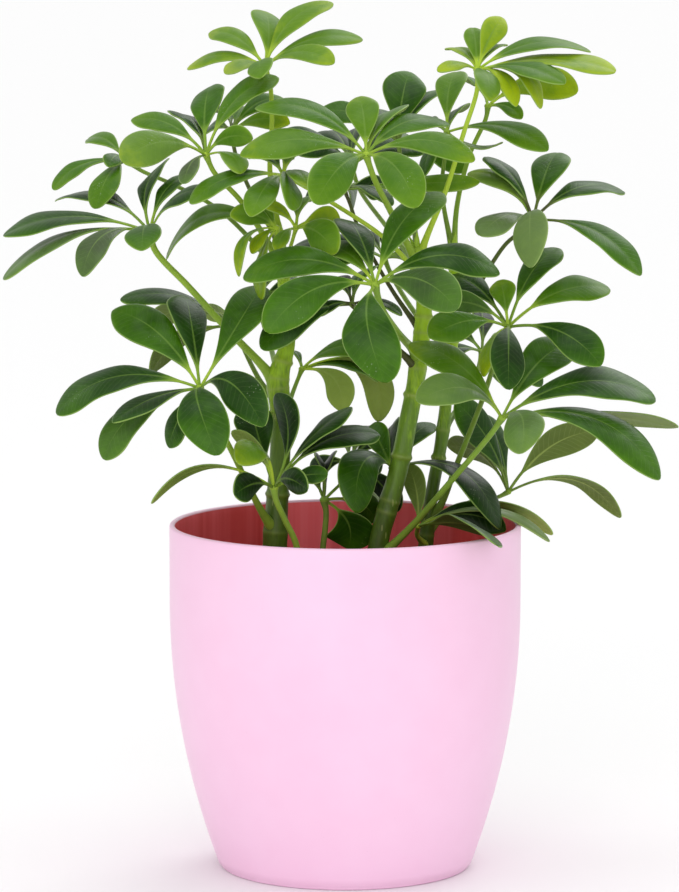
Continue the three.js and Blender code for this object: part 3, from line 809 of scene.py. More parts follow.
@dataclass(frozen=True)
class SoilFinish:
    """Dark crumbly potting soil. The mesh's value crumb holds a kind and a random number."""

    name: str = "potting_soil"
    clods: Mottle = Mottle(240.0, 1.6)
    is_bark: Fade = Fade(0.2, 0.4)
    bark: tuple[Colour, Colour] = (linear(92, 60, 38), linear(132, 94, 62))
    is_stone: Fade = Fade(0.6, 0.9)
    stone: tuple[Colour, Colour] = (linear(214, 208, 196), linear(186, 178, 162))
    roughness: float = 0.88
    clod_rougher: float = 0.1
    gloss: float = 0.25
    relief: Relief = Relief(0.9, 0.0012)

    def build(self, groups: Groups) -> Material:
        """Builds the material."""
        material, sheet, shader = new_material(self.name)
        kind, chance, _ = sheet.kept("crumb")
        clods = groups.mottle(sheet, sheet.place(), self.clods)
        skin = sheet.ramp(sheet.add(clods, 0.5), SOIL_COLOURS)
        for is_kind, colours in ((self.is_bark, self.bark), (self.is_stone, self.stone)):
            skin = sheet.blend(sheet.fade(kind, is_kind), skin, sheet.blend(chance, *colours))
        rough = sheet.add(self.roughness, sheet.times(clods, self.clod_rougher))
        dress(sheet, shader, skin, rough, self.gloss, clods, self.relief)
        return material


# The pot and its soil


@dataclass(frozen=True)
class PotShape:
    """Sizes of the pot, which its soil shares."""

    height: float = 154.0
    rim: float = 78.0
    foot: float = 56.0
    belly_top: float = 120.0
    belly_power: float = 2.05
    wall: float = 2.4
    floor: float = 4.0
    foot_edge: float = 1.5
    floor_edge: float = 2.0
    groove_inner: float = 16.0
    groove_outer: float = 46.0
    groove_depth: float = 1.5
    pole: float = 0.4
    soil_top: float = SOIL_TOP
    gap: float = 0.3

    def radius(self, height: np.ndarray | float) -> np.ndarray:
        """The outer radius: the rim's, drawn in by a power of the depth below belly_top."""
        below = np.maximum(0.0, self.belly_top - np.asarray(height)) / self.belly_top
        return self.rim - (self.rim - self.foot) * below**self.belly_power


def upright(radius: np.ndarray | float, height: np.ndarray | float) -> np.ndarray:
    """A stretch of a half section: one row of radius and height for each point."""
    return np.stack(np.broadcast_arrays(radius, height), axis=-1).reshape(-1, 2)


def turned(profile: np.ndarray, sides: int) -> np.ndarray:
    """A profile of radius and height carried round the upright axis, as the rings of one body."""
    angle = circle(sides)
    x = profile[:, :1] * np.cos(angle)
    y = profile[:, :1] * np.sin(angle)
    z = np.repeat(profile[:, 1:], sides, axis=1)
    return np.stack([x, y, z], axis=-1)[None]


@dataclass
class Pot:
    """The plastic pot: a thin turned wall with a round lip, and a ring recess under its base."""

    shape: PotShape
    sides: int = 192
    wall_steps: int = 44
    lip_steps: int = 9
    corner_steps: int = 6
    shoulder: float = 0.4
    chamfer: float = 0.1
    foot_flat: float = 0.6

    def base(self) -> np.ndarray:
        """The underside from its middle outwards: flat, down to the ring recess, and flat again."""
        shape = self.shape
        inner, outer, depth = shape.groove_inner, shape.groove_outer, shape.groove_depth
        flat_to = float(shape.radius(0.0)) - shape.foot_edge - self.foot_flat
        across = [shape.pole, inner - self.shoulder, inner, inner + depth, outer - depth, outer]
        across += [outer + self.shoulder, flat_to]
        heights = [0, 0, self.chamfer, depth, depth, self.chamfer, 0, 0]
        return upright(np.array(across), np.array(heights))

    def profile(self) -> tuple[np.ndarray, np.ndarray]:
        """The half section from the middle of the base round the lip to the middle of the floor.

        The lip is a half circle as wide as the wall, and the foot's edge is a quarter circle.

        Returns:
            Radius and height of each point, and whether it lies inside the pot.
        """
        shape = self.shape
        lip = shape.wall / 2
        top = shape.height - lip
        foot = float(shape.radius(0.0))
        turn = np.linspace(0.0, math.pi / 2, self.corner_steps)
        edge_in = shape.foot_edge * (1 - np.sin(turn))
        edge_up = shape.foot_edge * (1 - np.cos(turn))
        rise = np.linspace(shape.foot_edge + self.shoulder, top, self.wall_steps)
        round_lip = np.linspace(0.0, math.pi, self.lip_steps)[1:-1]
        side = upright(shape.radius(rise), rise)
        edge = upright(shape.rim - lip + lip * np.cos(round_lip), top + lip * np.sin(round_lip))
        fall = np.linspace(top, shape.floor + shape.floor_edge, self.wall_steps)
        inside = upright(shape.radius(fall) - shape.wall, fall)
        floor = upright(np.array([foot - shape.wall - shape.floor_edge, shape.pole]), shape.floor)
        outer = [self.base(), upright(foot - edge_in, edge_up), side, edge]
        profile = np.concatenate([*outer, inside, floor])
        return profile, np.arange(len(profile)) >= sum(map(len, outer))

    def build(self, finish: Material) -> None:
        """Builds the pot."""
        profile, inside = self.profile()
        rings = turned(profile, self.sides)
        wall = np.zeros_like(rings)
        wall[..., 0] = inside[None, :, None]
        piece = make_piece("pink_pot", [loft(rings, {"wall": wall})], finish)
        hand_over(piece, "pot_plastic", "pot")


class Crumb(Enum):
    """What a crumb on the soil is, as the number that its skin goes by."""

    PEAT = 0.0
    BARK = 0.5
    STONE = 1.0


@dataclass
class Soil:
    """The potting soil, with crumbs of peat, bark and pale stone on it."""

    shape: PotShape
    sides: int = 200
    side_rings: int = 12
    top_rings: int = 64
    dome: float = 2.0
    swell: float = 0.9
    swell_reach: tuple[float, float] = (7.0, 6.0)
    waves: int = 60
    wave_lengths: tuple[float, float] = (2.5, 16.0)
    wave_height: float = 0.42 / 30.0
    calm: float = 6.0
    edge_gap: float = 0.2
    corner: float = 0.4
    pole_share: float = 0.004
    crumbs: int = 620
    crumb_rings: int = 3
    crumb_sides: int = 6
    crumb_gap: float = 0.18
    crumb_shares: tuple[float, ...] = (0.52, 0.36, 0.12)
    crumb_sizes: tuple[float, float] = (0.6, 2.1)
    crumb_rough: float = 0.28
    crumb_flat: float = 0.55
    bark_larger: float = 1.35
    crumb_margin: float = 4.0
    seed: int = 11

    def relief(self, x: np.ndarray, y: np.ndarray) -> np.ndarray:
        """The soil's height: a low dome, two crossed waves, and small waves of random direction.

        A small wave is wave_height times its length high, and all sink to nothing at the wall.

        Args:
            x: Places along X.
            y: Places along Y.

        Returns:
            The heights in millimetres.
        """
        draw = np.random.default_rng(self.seed)
        edge = float(self.shape.radius(self.shape.soil_top)) - self.shape.wall
        inside = np.clip(1.0 - np.hypot(x, y) / edge, 0.0, 1.0)
        height = self.shape.soil_top + self.dome * (1 - (1 - inside) ** 2)
        along_x, along_y = self.swell_reach
        height = height + self.swell * np.sin(x / along_x) * np.cos(y / along_y)
        turn = draw.uniform(0, FULL_TURN, self.waves)
        length = draw.uniform(*self.wave_lengths, self.waves)
        start = draw.uniform(0, FULL_TURN, self.waves)
        run = x[..., None] * np.cos(turn) + y[..., None] * np.sin(turn)
        small = np.sin(FULL_TURN * run / length + start) * length * self.wave_height
        return height + np.minimum(1.0, self.calm * inside) * small.sum(axis=-1)

    def body(self) -> Shell:
        """The soil's own surface: its sides follow the pot's wall, and its top is the relief."""
        shape = self.shape
        skin = shape.wall + shape.gap
        base = shape.floor + shape.gap
        rise = np.linspace(base + shape.floor_edge, shape.soil_top - self.corner, self.side_rings)
        sides = upright(shape.radius(rise) - skin - self.edge_gap, rise)
        foot = float(shape.radius(0.0)) - skin - shape.floor_edge
        bottom = upright(np.array([shape.pole, foot]), base)
        edge = float(shape.radius(shape.soil_top)) - skin - self.edge_gap
        top = upright(edge * np.linspace(1.0, self.pole_share, self.top_rings), shape.soil_top)
        rings = turned(np.concatenate([bottom, sides, top]), self.sides)
        surface = rings[:, -self.top_rings :]
        surface[..., 2] = self.relief(surface[..., 0], surface[..., 1])
        return loft(rings, {"crumb": np.zeros_like(rings)})

    def litter(self) -> Shell:
        """Crumbs: small rough balls, squashed, turned and strewn over the relief."""
        draw = np.random.default_rng(self.seed + 1)
        count = self.crumbs
        edge = float(self.shape.radius(self.shape.soil_top)) - self.shape.wall - self.crumb_margin
        away = edge * np.sqrt(draw.uniform(0.0, 1.0, count))
        angle = draw.uniform(0, FULL_TURN, count)
        x, y = away * np.cos(angle), away * np.sin(angle)
        middle = np.stack([x, y, self.relief(x, y)], axis=1)
        kind = draw.choice([one.value for one in Crumb], size=count, p=self.crumb_shares)
        larger = np.where(kind == Crumb.BARK.value, self.bark_larger, 1.0)
        size = draw.uniform(*self.crumb_sizes, (count, 3)) * larger[:, None]
        size[:, 2] *= self.crumb_flat
        grid = (count, self.crumb_rings, self.crumb_sides, 1)
        rough = 1 + draw.uniform(-self.crumb_rough, self.crumb_rough, grid)
        balls = ball(self.crumb_rings, self.crumb_sides, self.crumb_gap)
        rough = balls * rough * size[:, None, None, :]
        frames, _ = np.linalg.qr(draw.normal(size=(count, 3, 3)))
        rings = np.einsum("crai,cij->craj", rough, frames) + middle[:, None, None, :]
        values = np.zeros_like(rings)
        values[..., 0] = kind[:, None, None]
        values[..., 1] = draw.uniform(0, 1, count)[:, None, None]
        return loft(rings, {"crumb": values})

    def build(self, finish: Material) -> None:
        """Builds the soil and its crumbs."""
        hand_over(make_piece("soil_bed", [self.body()], finish), "soil", "potting_soil")
        hand_over(make_piece("soil_crumbs", [self.litter()], finish), "soil")


# The stems


@dataclass
class Stem:
    """One upright stem: its spine as [column, row, depth, radius], and its old scars' shares."""

    name: str
    spine: tuple[tuple[float, float, float, float], ...]
    scars: tuple[float, ...]
    rooted_at: float = 84.0
    soil_top: float = SOIL_TOP
    sides: int = 28
    steps: int = 260
    scar_rise: float = 0.75
    scar_reach: float = 1.1
    joint_rise: float = 0.15
    joint_reach: float = 0.8
    swelling_rise: float = 0.3
    swelling_reach: float = 5.0
    closing: float = 3.0
    tip_share: float = 0.002
    slow_waves: tuple[tuple[float, int, float], ...] = ((0.02, 3, 9.0), (0.012, 5, -5.0))
    tender: float = 12.0
    bud_scales: int = 3
    bud_rings: int = 14
    bud_sides: int = 12
    bud_gap: float = 0.02
    bud_turn: float = 2.1
    bud_width: float = 1.5
    bud_flat: float = 0.5
    bud_sunk: float = 3.0
    bud_length: float = 9.0
    bud_out: float = 0.5
    bud_lean: float = 2.3
    bud_tender: float = 0.8

    def __post_init__(self) -> None:
        """Works out the spine's path and its radii."""
        seen = VIEW.places(self.spine)
        foot, neck = seen[0].copy(), seen[0].copy()
        foot[2], neck[2] = self.rooted_at, self.soil_top
        points = np.vstack([foot, neck, seen])
        self.path, self.heading, self.length = path_through(points, self.steps)
        widths = [self.spine[0][3]] * 2 + [point[3] for point in self.spine]
        marks = [self.nearest(point) for point in points]
        self.radii = np.interp(np.arange(self.steps), marks, widths)

    def nearest(self, point: np.ndarray) -> int:
        """The step of the spine nearest to a point."""
        return int(np.argmin(np.linalg.norm(self.path - point, axis=1)))

    def rings(self, joints: Sequence[int]) -> tuple[np.ndarray, np.ndarray]:
        """The stem's rings.

        The radius is the spine's, with a bell at each old scar, and a broad bell and a fine ring at
        each joint that carries a leaf. It closes at the tip as a quarter circle. It is multiplied
        by 1 plus the slow waves, each high * sin(count * angle + rise / reach).

        Args:
            joints: Steps of the spine at which leaves stand.

        Returns:
            The ring points, and the value bark there.
        """
        up = np.linspace(0.0, self.length, self.steps)
        joint_at = np.array(joints) / (self.steps - 1) * self.length

        def bells(places: np.ndarray, reach: float) -> np.ndarray:
            """The sum of bells at some places up the stem."""
            return bell(up[:, None] - places, reach).sum(axis=1)

        scar = bells(np.array(self.scars) * self.length, self.scar_reach)
        joint = bells(joint_at, self.joint_reach)
        swelling = bells(joint_at, self.swelling_reach)
        radius = self.radii + self.scar_rise * np.minimum(scar, 1)
        radius = radius + self.joint_rise * np.minimum(joint, 1)
        radius = radius + self.swelling_rise * np.minimum(swelling, 1)
        left = np.clip((self.length - up) / self.closing, 0.0, 1.0)
        radius = radius * np.sqrt(np.maximum(1 - (1 - left) ** 2, self.tip_share))
        uneven = np.ones((self.steps, self.sides))
        for high, count, reach in self.slow_waves:
            uneven = uneven + high * np.sin(count * circle(self.sides) + up[:, None] / reach)
        side = unit(np.cross(self.heading, BACK))
        rings = tube(self.path, side, self.heading, radius[:, None] * uneven)
        values = np.zeros_like(rings)
        values[..., 0] = np.minimum(scar + joint, 1)[:, None]
        values[..., 1] = (up / self.length)[:, None]
        values[..., 2] = smooth_step(self.length - self.tender, self.length, up)[:, None]
        return rings[None], values[None]

    def bud(self) -> tuple[np.ndarray, np.ndarray]:
        """Pointed bud scales at the tip, (sin(pi s^0.8))^0.8 wide, which lean out as s^1.5."""
        share = np.linspace(0.0, 1.0, self.bud_rings)[None, :, None, None]
        angle = circle(self.bud_sides)[None, None, :, None]
        turn = (np.arange(self.bud_scales) * self.bud_turn)[:, None, None, None]
        tip, way = self.path[-1], self.heading[-1]
        side = unit(np.cross(way, BACK))
        out = np.cos(turn) * side + np.sin(turn) * np.cross(way, side)
        within = np.clip(share, self.bud_gap, 1 - self.bud_gap)
        width = self.bud_width * np.sin(math.pi * within**0.8) ** 0.8
        middle = tip + (self.bud_length * share - self.bud_sunk) * way
        middle = middle + out * (self.bud_out + self.bud_lean * share**1.5)
        round_it = np.cos(angle) * np.cross(way, out) + self.bud_flat * np.sin(angle) * out
        rings = middle + width * round_it
        values = np.zeros_like(rings)
        values[..., 1:] = (1.0, self.bud_tender)
        return rings, values

    def build(self, finish: Material, joints: Sequence[int]) -> None:
        """Builds the stem."""
        bodies = (self.rings(joints), self.bud())
        shells = [loft(rings, {"bark": values}) for rings, values in bodies]
        hand_over(make_piece("bark_" + self.name, shells, finish), "stem", self.name)


# The leaves


class Tone(Enum):
    """How dark a leaf's green is, as its place on the row of greens. NEW to OLD go by age;
    SHADED is painted shade on leaves low inside the plant.
    """

    NEW = 0.22
    YOUNG = 0.3
    GROWN = 0.42
    MATURE = 0.68
    OLD = 0.8
    # Painted shade: the darkest greens, for leaves low in the plant where shade falls.
    SHADED = 0.96


@dataclass(frozen=True)
class BladeShape:
    """What all leaflets share. A pair of numbers is the span of a random one."""

    steps: int = 34
    crowding: float = 1.25
    end: float = 0.997
    across: tuple[float, ...] = (
        -1, -0.975, -0.92, -0.8, -0.6, -0.36, -0.15, 0, 0.15, 0.36, 0.6, 0.8, 0.92, 0.975, 1,
    )
    stalklet_half: float = 0.65
    stalklet_thick: float = 0.5
    half_thick: float = 0.36
    thinning: float = 0.12
    tip_blunt: float = 6.0
    past_tip: float = 1.0005
    crest: float = 0.55
    face_lift: float = 0.4
    twist: tuple[float, float] = (-0.22, 0.22)
    wander: tuple[float, float] = (-0.035, 0.035)
    skew: float = 1.6
    older_skew: float = 0.4
    skew_age: float = 0.6
    skew_spread: tuple[float, float] = (-0.12, 0.12)
    fullness: float = 0.57
    fullness_spread: tuple[float, float] = (-0.06, 0.1)
    margin_power: int = 14
    fold: tuple[float, float] = (0.02, 0.16)
    fold_round: float = 0.01
    droop: tuple[float, float] = (0.1, 0.24)
    droop_power: float = 2.4
    wave: tuple[float, float] = (0.02, 0.06)
    waves: tuple[float, float] = (1.2, 2.2)
    wave_shift: float = 1.4
    rib: float = 0.5
    rib_reach: float = 0.8
    rib_start: float = 0.1
    rib_power: float = 0.7
    groove: float = 0.22
    groove_reach: float = 0.7
    groove_power: float = 0.5
    stalk_skin: float = 0.14
    stalklet_younger: float = 0.2
    age_spread: float = 0.05


BLADE = BladeShape()


@dataclass(frozen=True)
class Leaflet:
    """One leaflet as it is seen.

    The place of its tip is a column and a row, and how far it lies behind the hub. Then come the
    width that the picture shows, minus where that is the under side, the rise of its midrib over
    its length, how far it bends aside over its length, how much darker its green is than its
    leaf's, partly as painted shade and painted light, its width over its length, and how thick the
    grey painted sheen on its skin is.
    """

    column: float
    row: float
    behind: float
    shown: float
    arch: float = 0.15
    bend: float = 0.0
    darker: float = 0.0
    slender: float = 0.37
    painted_sheen: float = 0.0


@dataclass
class Spread:
    """How a leaf's blades lie: one row for each leaflet."""

    tips: np.ndarray
    length: np.ndarray
    width: np.ndarray
    face: np.ndarray
    crest: np.ndarray


@dataclass
class CompoundLeaf:
    """One palmate leaf: a stalk, a hub and its leaflets. Its places are columns, rows and depths.

    The stalklet is the share of a leaflet's length that is its own thin stalk. A stalk looks
    younger than the blades by stalk_younger, and stalk_older takes that back where it looks older.
    """

    name: str
    carrier: str
    age: Tone
    hub: tuple[float, float, float]
    girth: float
    stalk: tuple[tuple[float, float, float], ...]
    leaflets: tuple[Leaflet, ...]
    stalklet: float = 0.12
    stalk_older: float = 0.0
    stalk_sides: int = 14
    stalk_steps: int = 60
    thicker_foot: float = 0.35
    collar_rise: float = 0.45
    collar_reach: float = 2.5
    sheath_reach: float = 5.0
    steep: float = 0.1
    hub_wider: float = 0.7
    hub_flat: float = 0.8
    hub_rings: int = 9
    hub_sides: int = 16
    hub_gap: float = 0.06
    hub_younger: float = 0.2
    stalk_younger: float = 0.25
    off_margin: float = 5.0
    soil_top: float = SOIL_TOP
    rooted_at: float = 104.0

    def stalk_points(self, stems: Mapping[str, Stem]) -> np.ndarray:
        """The stalk's points, from the hub to the axis of its stem or down into the soil."""
        points = VIEW.places([self.hub, *self.stalk])
        if self.carrier in stems:
            stem = stems[self.carrier]
            points[-1] = stem.path[stem.nearest(points[-1])]
            return points
        x, y, _ = points[-1]
        return np.vstack([points, (x, y, self.soil_top), (x, y, self.rooted_at)])

    def stalk_shell(self, stems: Mapping[str, Stem]) -> Shell:
        """The stalk: a round tube that swells as 1 + thicker_foot * share^2 towards its foot.

        A bell stands out below the hub, and where the stalk leaves its stem it flares as
        exp(-distance / sheath_reach).

        Args:
            stems: The stems by name.

        Returns:
            The stalk's shell.
        """
        points = self.stalk_points(stems)
        path, heading, length = path_through(points, self.stalk_steps)
        share = np.linspace(0.0, 1.0, self.stalk_steps)
        radius = self.girth * (1 + self.thicker_foot * share**2)
        radius = radius + self.collar_rise * self.girth * bell(share * length, self.collar_reach)
        if self.carrier in stems:
            stem = stems[self.carrier]
            inside = stem.radii[stem.nearest(points[-1])]
            outside = np.maximum(0.0, (1 - share) * length - inside)
            radius = radius + self.girth * np.exp(-outside / self.sheath_reach)
        level = np.cross(unit(points[-1] - points[0]), UP)
        level = level if np.linalg.norm(level) > self.steep else BACK
        side = unit(level - (heading @ level)[:, None] * heading)
        rings = tube(path, side, heading, np.repeat(radius[:, None], self.stalk_sides, axis=1))
        return self.stalk_skin(rings, 0.0)

    def hub_shell(self) -> Shell:
        """The hub: a ball a little wider than the stalk, a little flat and younger."""
        flat = (self.girth + self.hub_wider) * np.array([1.0, 1.0, self.hub_flat])
        rings = VIEW.place(self.hub) + ball(self.hub_rings, self.hub_sides, self.hub_gap) * flat
        return self.stalk_skin(rings, self.hub_younger)

    def stalk_skin(self, rings: np.ndarray, younger: float) -> Shell:
        """Lofts rings that wear the stalk's skin."""
        look = np.zeros_like(rings)
        look[..., 0] = self.age.value + self.stalk_older - self.stalk_younger - younger
        look[..., 2] = 1.0
        blade = np.full_like(rings, self.off_margin)
        values = {"blade": blade, "look": look, "reach": np.zeros_like(rings)}
        return loft(rings[None], {name: value[None] for name, value in values.items()})

    def spread(self) -> Spread:
        """How the blades lie.

        A blade is as wide as its length times slender, or as wide as it is seen where that is more.
        It is turned about its midrib until it shows the seen width, with its upper side up.

        Returns:
            The lie of all the blades.
        """
        traits = [(one.shown, one.arch, one.slender) for one in self.leaflets]
        shown, arch, slender = np.array(traits, float).T[..., None]
        hub = VIEW.place(self.hub)
        depth = self.hub[2]
        tips = VIEW.places([(one.column, one.row, depth + one.behind) for one in self.leaflets])
        reach = tips - hub
        length = np.linalg.norm(reach, axis=1, keepdims=True)
        along = reach / length
        to_eye = VIEW.eye - (hub + tips) / 2
        seen = np.abs(shown) * np.linalg.norm(to_eye, axis=1, keepdims=True) / VIEW.focal
        to_eye = unit(to_eye)
        square = unit(to_eye - np.sum(to_eye * along, axis=1, keepdims=True) * along)
        beside = np.cross(along, square)
        width = np.maximum(length * slender, seen)
        turn = np.arccos(np.clip(seen / width, -1.0, 1.0))
        lean = np.sin(turn) * np.where(beside[:, 2:] < 0, -1.0, 1.0)
        face = square * np.cos(turn) * np.sign(shown) + beside * lean
        lift = unit(UP - along[:, 2:] * along + BLADE.face_lift * face)
        crest = hub + BLADE.crest * reach + 2 * arch * length * lift
        return Spread(tips, length, width, face, crest)

    def leaflet_shell(self, seed: int) -> Shell:
        """All the leaflets of the leaf, each a closed blade.

        The midrib is a quadratic curve from the hub over a crest to the tip. The half width is that
        of a thin stalk, joined to sin(pi s^skew)^fullness of the blade's own, with s its share of
        the length. Across it, the two halves fold up from the midrib and their margins droop, with
        long waves along the margins. The upper skin has a groove along the midrib, the lower a rib.

        Args:
            seed: Start of the leaf's own random numbers.

        Returns:
            The leaflets as one shell of many bodies.
        """
        draw = np.random.default_rng(seed)
        traits = [(one.bend, one.darker, one.painted_sheen) for one in self.leaflets]
        bend, darker, painted_sheen = np.array(traits, float).T[:, :, None, None]
        one_each, one_row_each = bend.shape, (len(bend), 1)
        lie = self.spread()
        hub, tips, crest = VIEW.place(self.hub), lie.tips[:, None], lie.crest[:, None]
        length = lie.length[:, None]

        t = 1 - (1 - np.linspace(0.0, 1.0, BLADE.steps)) ** BLADE.crowding
        t[-1] = BLADE.end
        s = np.clip((t - self.stalklet) / (1 - self.stalklet), 0.0, 1.0)
        t3, s3 = t[None, :, None], s[None, :, None]
        middle = (1 - t3) ** 2 * hub + 2 * t3 * (1 - t3) * crest + t3**2 * tips
        heading = unit((1 - t3) * (crest - hub) + t3 * (tips - crest))
        side = unit(np.cross(lie.face[:, None], heading))
        above = np.cross(heading, side)
        twist = draw.uniform(*BLADE.twist, one_each) * t3**2
        side, above = (
            np.cos(twist) * side + np.sin(twist) * above,
            np.cos(twist) * above - np.sin(twist) * side,
        )
        bow = (draw.uniform(*BLADE.wander, one_each) + bend) * length
        middle = middle + side * bow * 4 * t3 * (1 - t3)

        skew = BLADE.skew + BLADE.older_skew * (self.age.value - BLADE.skew_age)
        skew = skew + draw.uniform(*BLADE.skew_spread, one_row_each)
        fullness = BLADE.fullness + draw.uniform(*BLADE.fullness_spread, one_row_each)
        outline = np.sin(math.pi * s**skew) ** fullness
        half = np.hypot(BLADE.stalklet_half * (1 - s) ** 2, outline * lie.width / 2)[:, :, None]
        extra = BLADE.stalklet_thick - BLADE.half_thick
        thick = BLADE.half_thick + extra * (1 - smooth_step(0.0, BLADE.thinning, s3))
        thick = thick * np.minimum(1.0, BLADE.tip_blunt * np.sqrt(BLADE.past_tip - s3))

        top = np.array(BLADE.across)
        v = np.concatenate([top, top[-2:0:-1]])
        upper = np.concatenate([np.ones(len(top)), -np.ones(len(top) - 2)])
        upper[[0, len(top) - 1]] = 0.0
        rim = np.sqrt(np.maximum(0.0, 1 - np.abs(v) ** BLADE.margin_power))
        fold = draw.uniform(*BLADE.fold, one_each)
        droop = draw.uniform(*BLADE.droop, one_each)
        wave = draw.uniform(*BLADE.wave, one_each)
        run = FULL_TURN * draw.uniform(*BLADE.waves, one_each) * s3
        start = draw.uniform(0, FULL_TURN, one_each)
        wave = wave * np.sin(run + start + BLADE.wave_shift * np.sign(v))
        bent = np.sqrt(v**2 + BLADE.fold_round) - math.sqrt(BLADE.fold_round)
        camber = fold * bent - droop * np.abs(v) ** BLADE.droop_power
        aside = half * v
        rib = BLADE.rib * bell(aside, BLADE.rib_reach) * (1 - s3) ** BLADE.rib_power
        rib = rib * smooth_step(0.0, BLADE.rib_start, s3)
        groove = BLADE.groove * bell(aside, BLADE.groove_reach) * (1 - s3) ** BLADE.groove_power
        height = half * (camber + wave * v**2) + upper * rim * thick
        height = height - np.where(upper > 0, groove, 0) - np.where(upper < 0, rib, 0)
        rings = aside[..., None] * side[:, :, None] + height[..., None] * above[:, :, None]
        rings = middle[:, :, None] + rings

        tones = self.age.value + darker + draw.normal(0.0, BLADE.age_spread, one_each)
        stalk = 1 - smooth_step(0.0, BLADE.stalk_skin, s3)
        tones = tones + (self.stalk_older - BLADE.stalklet_younger) * stalk
        chance = draw.uniform(0, 1, one_each)

        def three(*values: np.ndarray) -> np.ndarray:
            """Three values at every point of the rings."""
            return np.stack([np.broadcast_to(value, aside.shape) for value in values], axis=-1)

        values = {
            "blade": three(s3 * length, aside, half * (1 - np.abs(v))),
            "look": three(tones, (1 - upper) / 2, stalk),
            "reach": three(s3, chance, painted_sheen),
        }
        return loft(rings, values)

    def build(self, finish: Material, slot: str, stems: Mapping[str, Stem], seed: int) -> None:
        """Builds the leaf as one piece."""
        shells = [self.stalk_shell(stems), self.hub_shell(), self.leaflet_shell(seed)]
        hand_over(make_piece("green_" + self.name, shells, finish), slot, self.name)


# The readings of the plant


STEMS = (
    Stem("stem_left", (
        (275, 548, -4, 5.4), (279, 470, -3, 4.6), (281, 410, -2, 4.5), (278, 380, -1, 4.8),
        (288, 340, 0, 3.2), (285, 290, 2, 2.7), (279, 236, 2, 2.2),
    ), (0.42, 0.6, 0.72)),
    Stem("stem_middle", (
        (378, 548, -6, 4.4), (397, 475, -5, 4.2), (407, 428, -4, 4.1), (416, 380, -2, 3.8),
        (422, 330, 0, 3.5), (424, 295, 1, 3.6), (416, 246, 2, 3.4),
    ), (0.52, 0.66, 0.84)),
    Stem("stem_right", (
        (426, 545, 26, 3.1), (431, 500, 26, 2.9), (443, 430, 26, 2.8), (448, 380, 25, 2.6),
        (455, 310, 23, 2.4), (453, 246, 21, 2.1),
    ), (0.5, 0.78)),
)
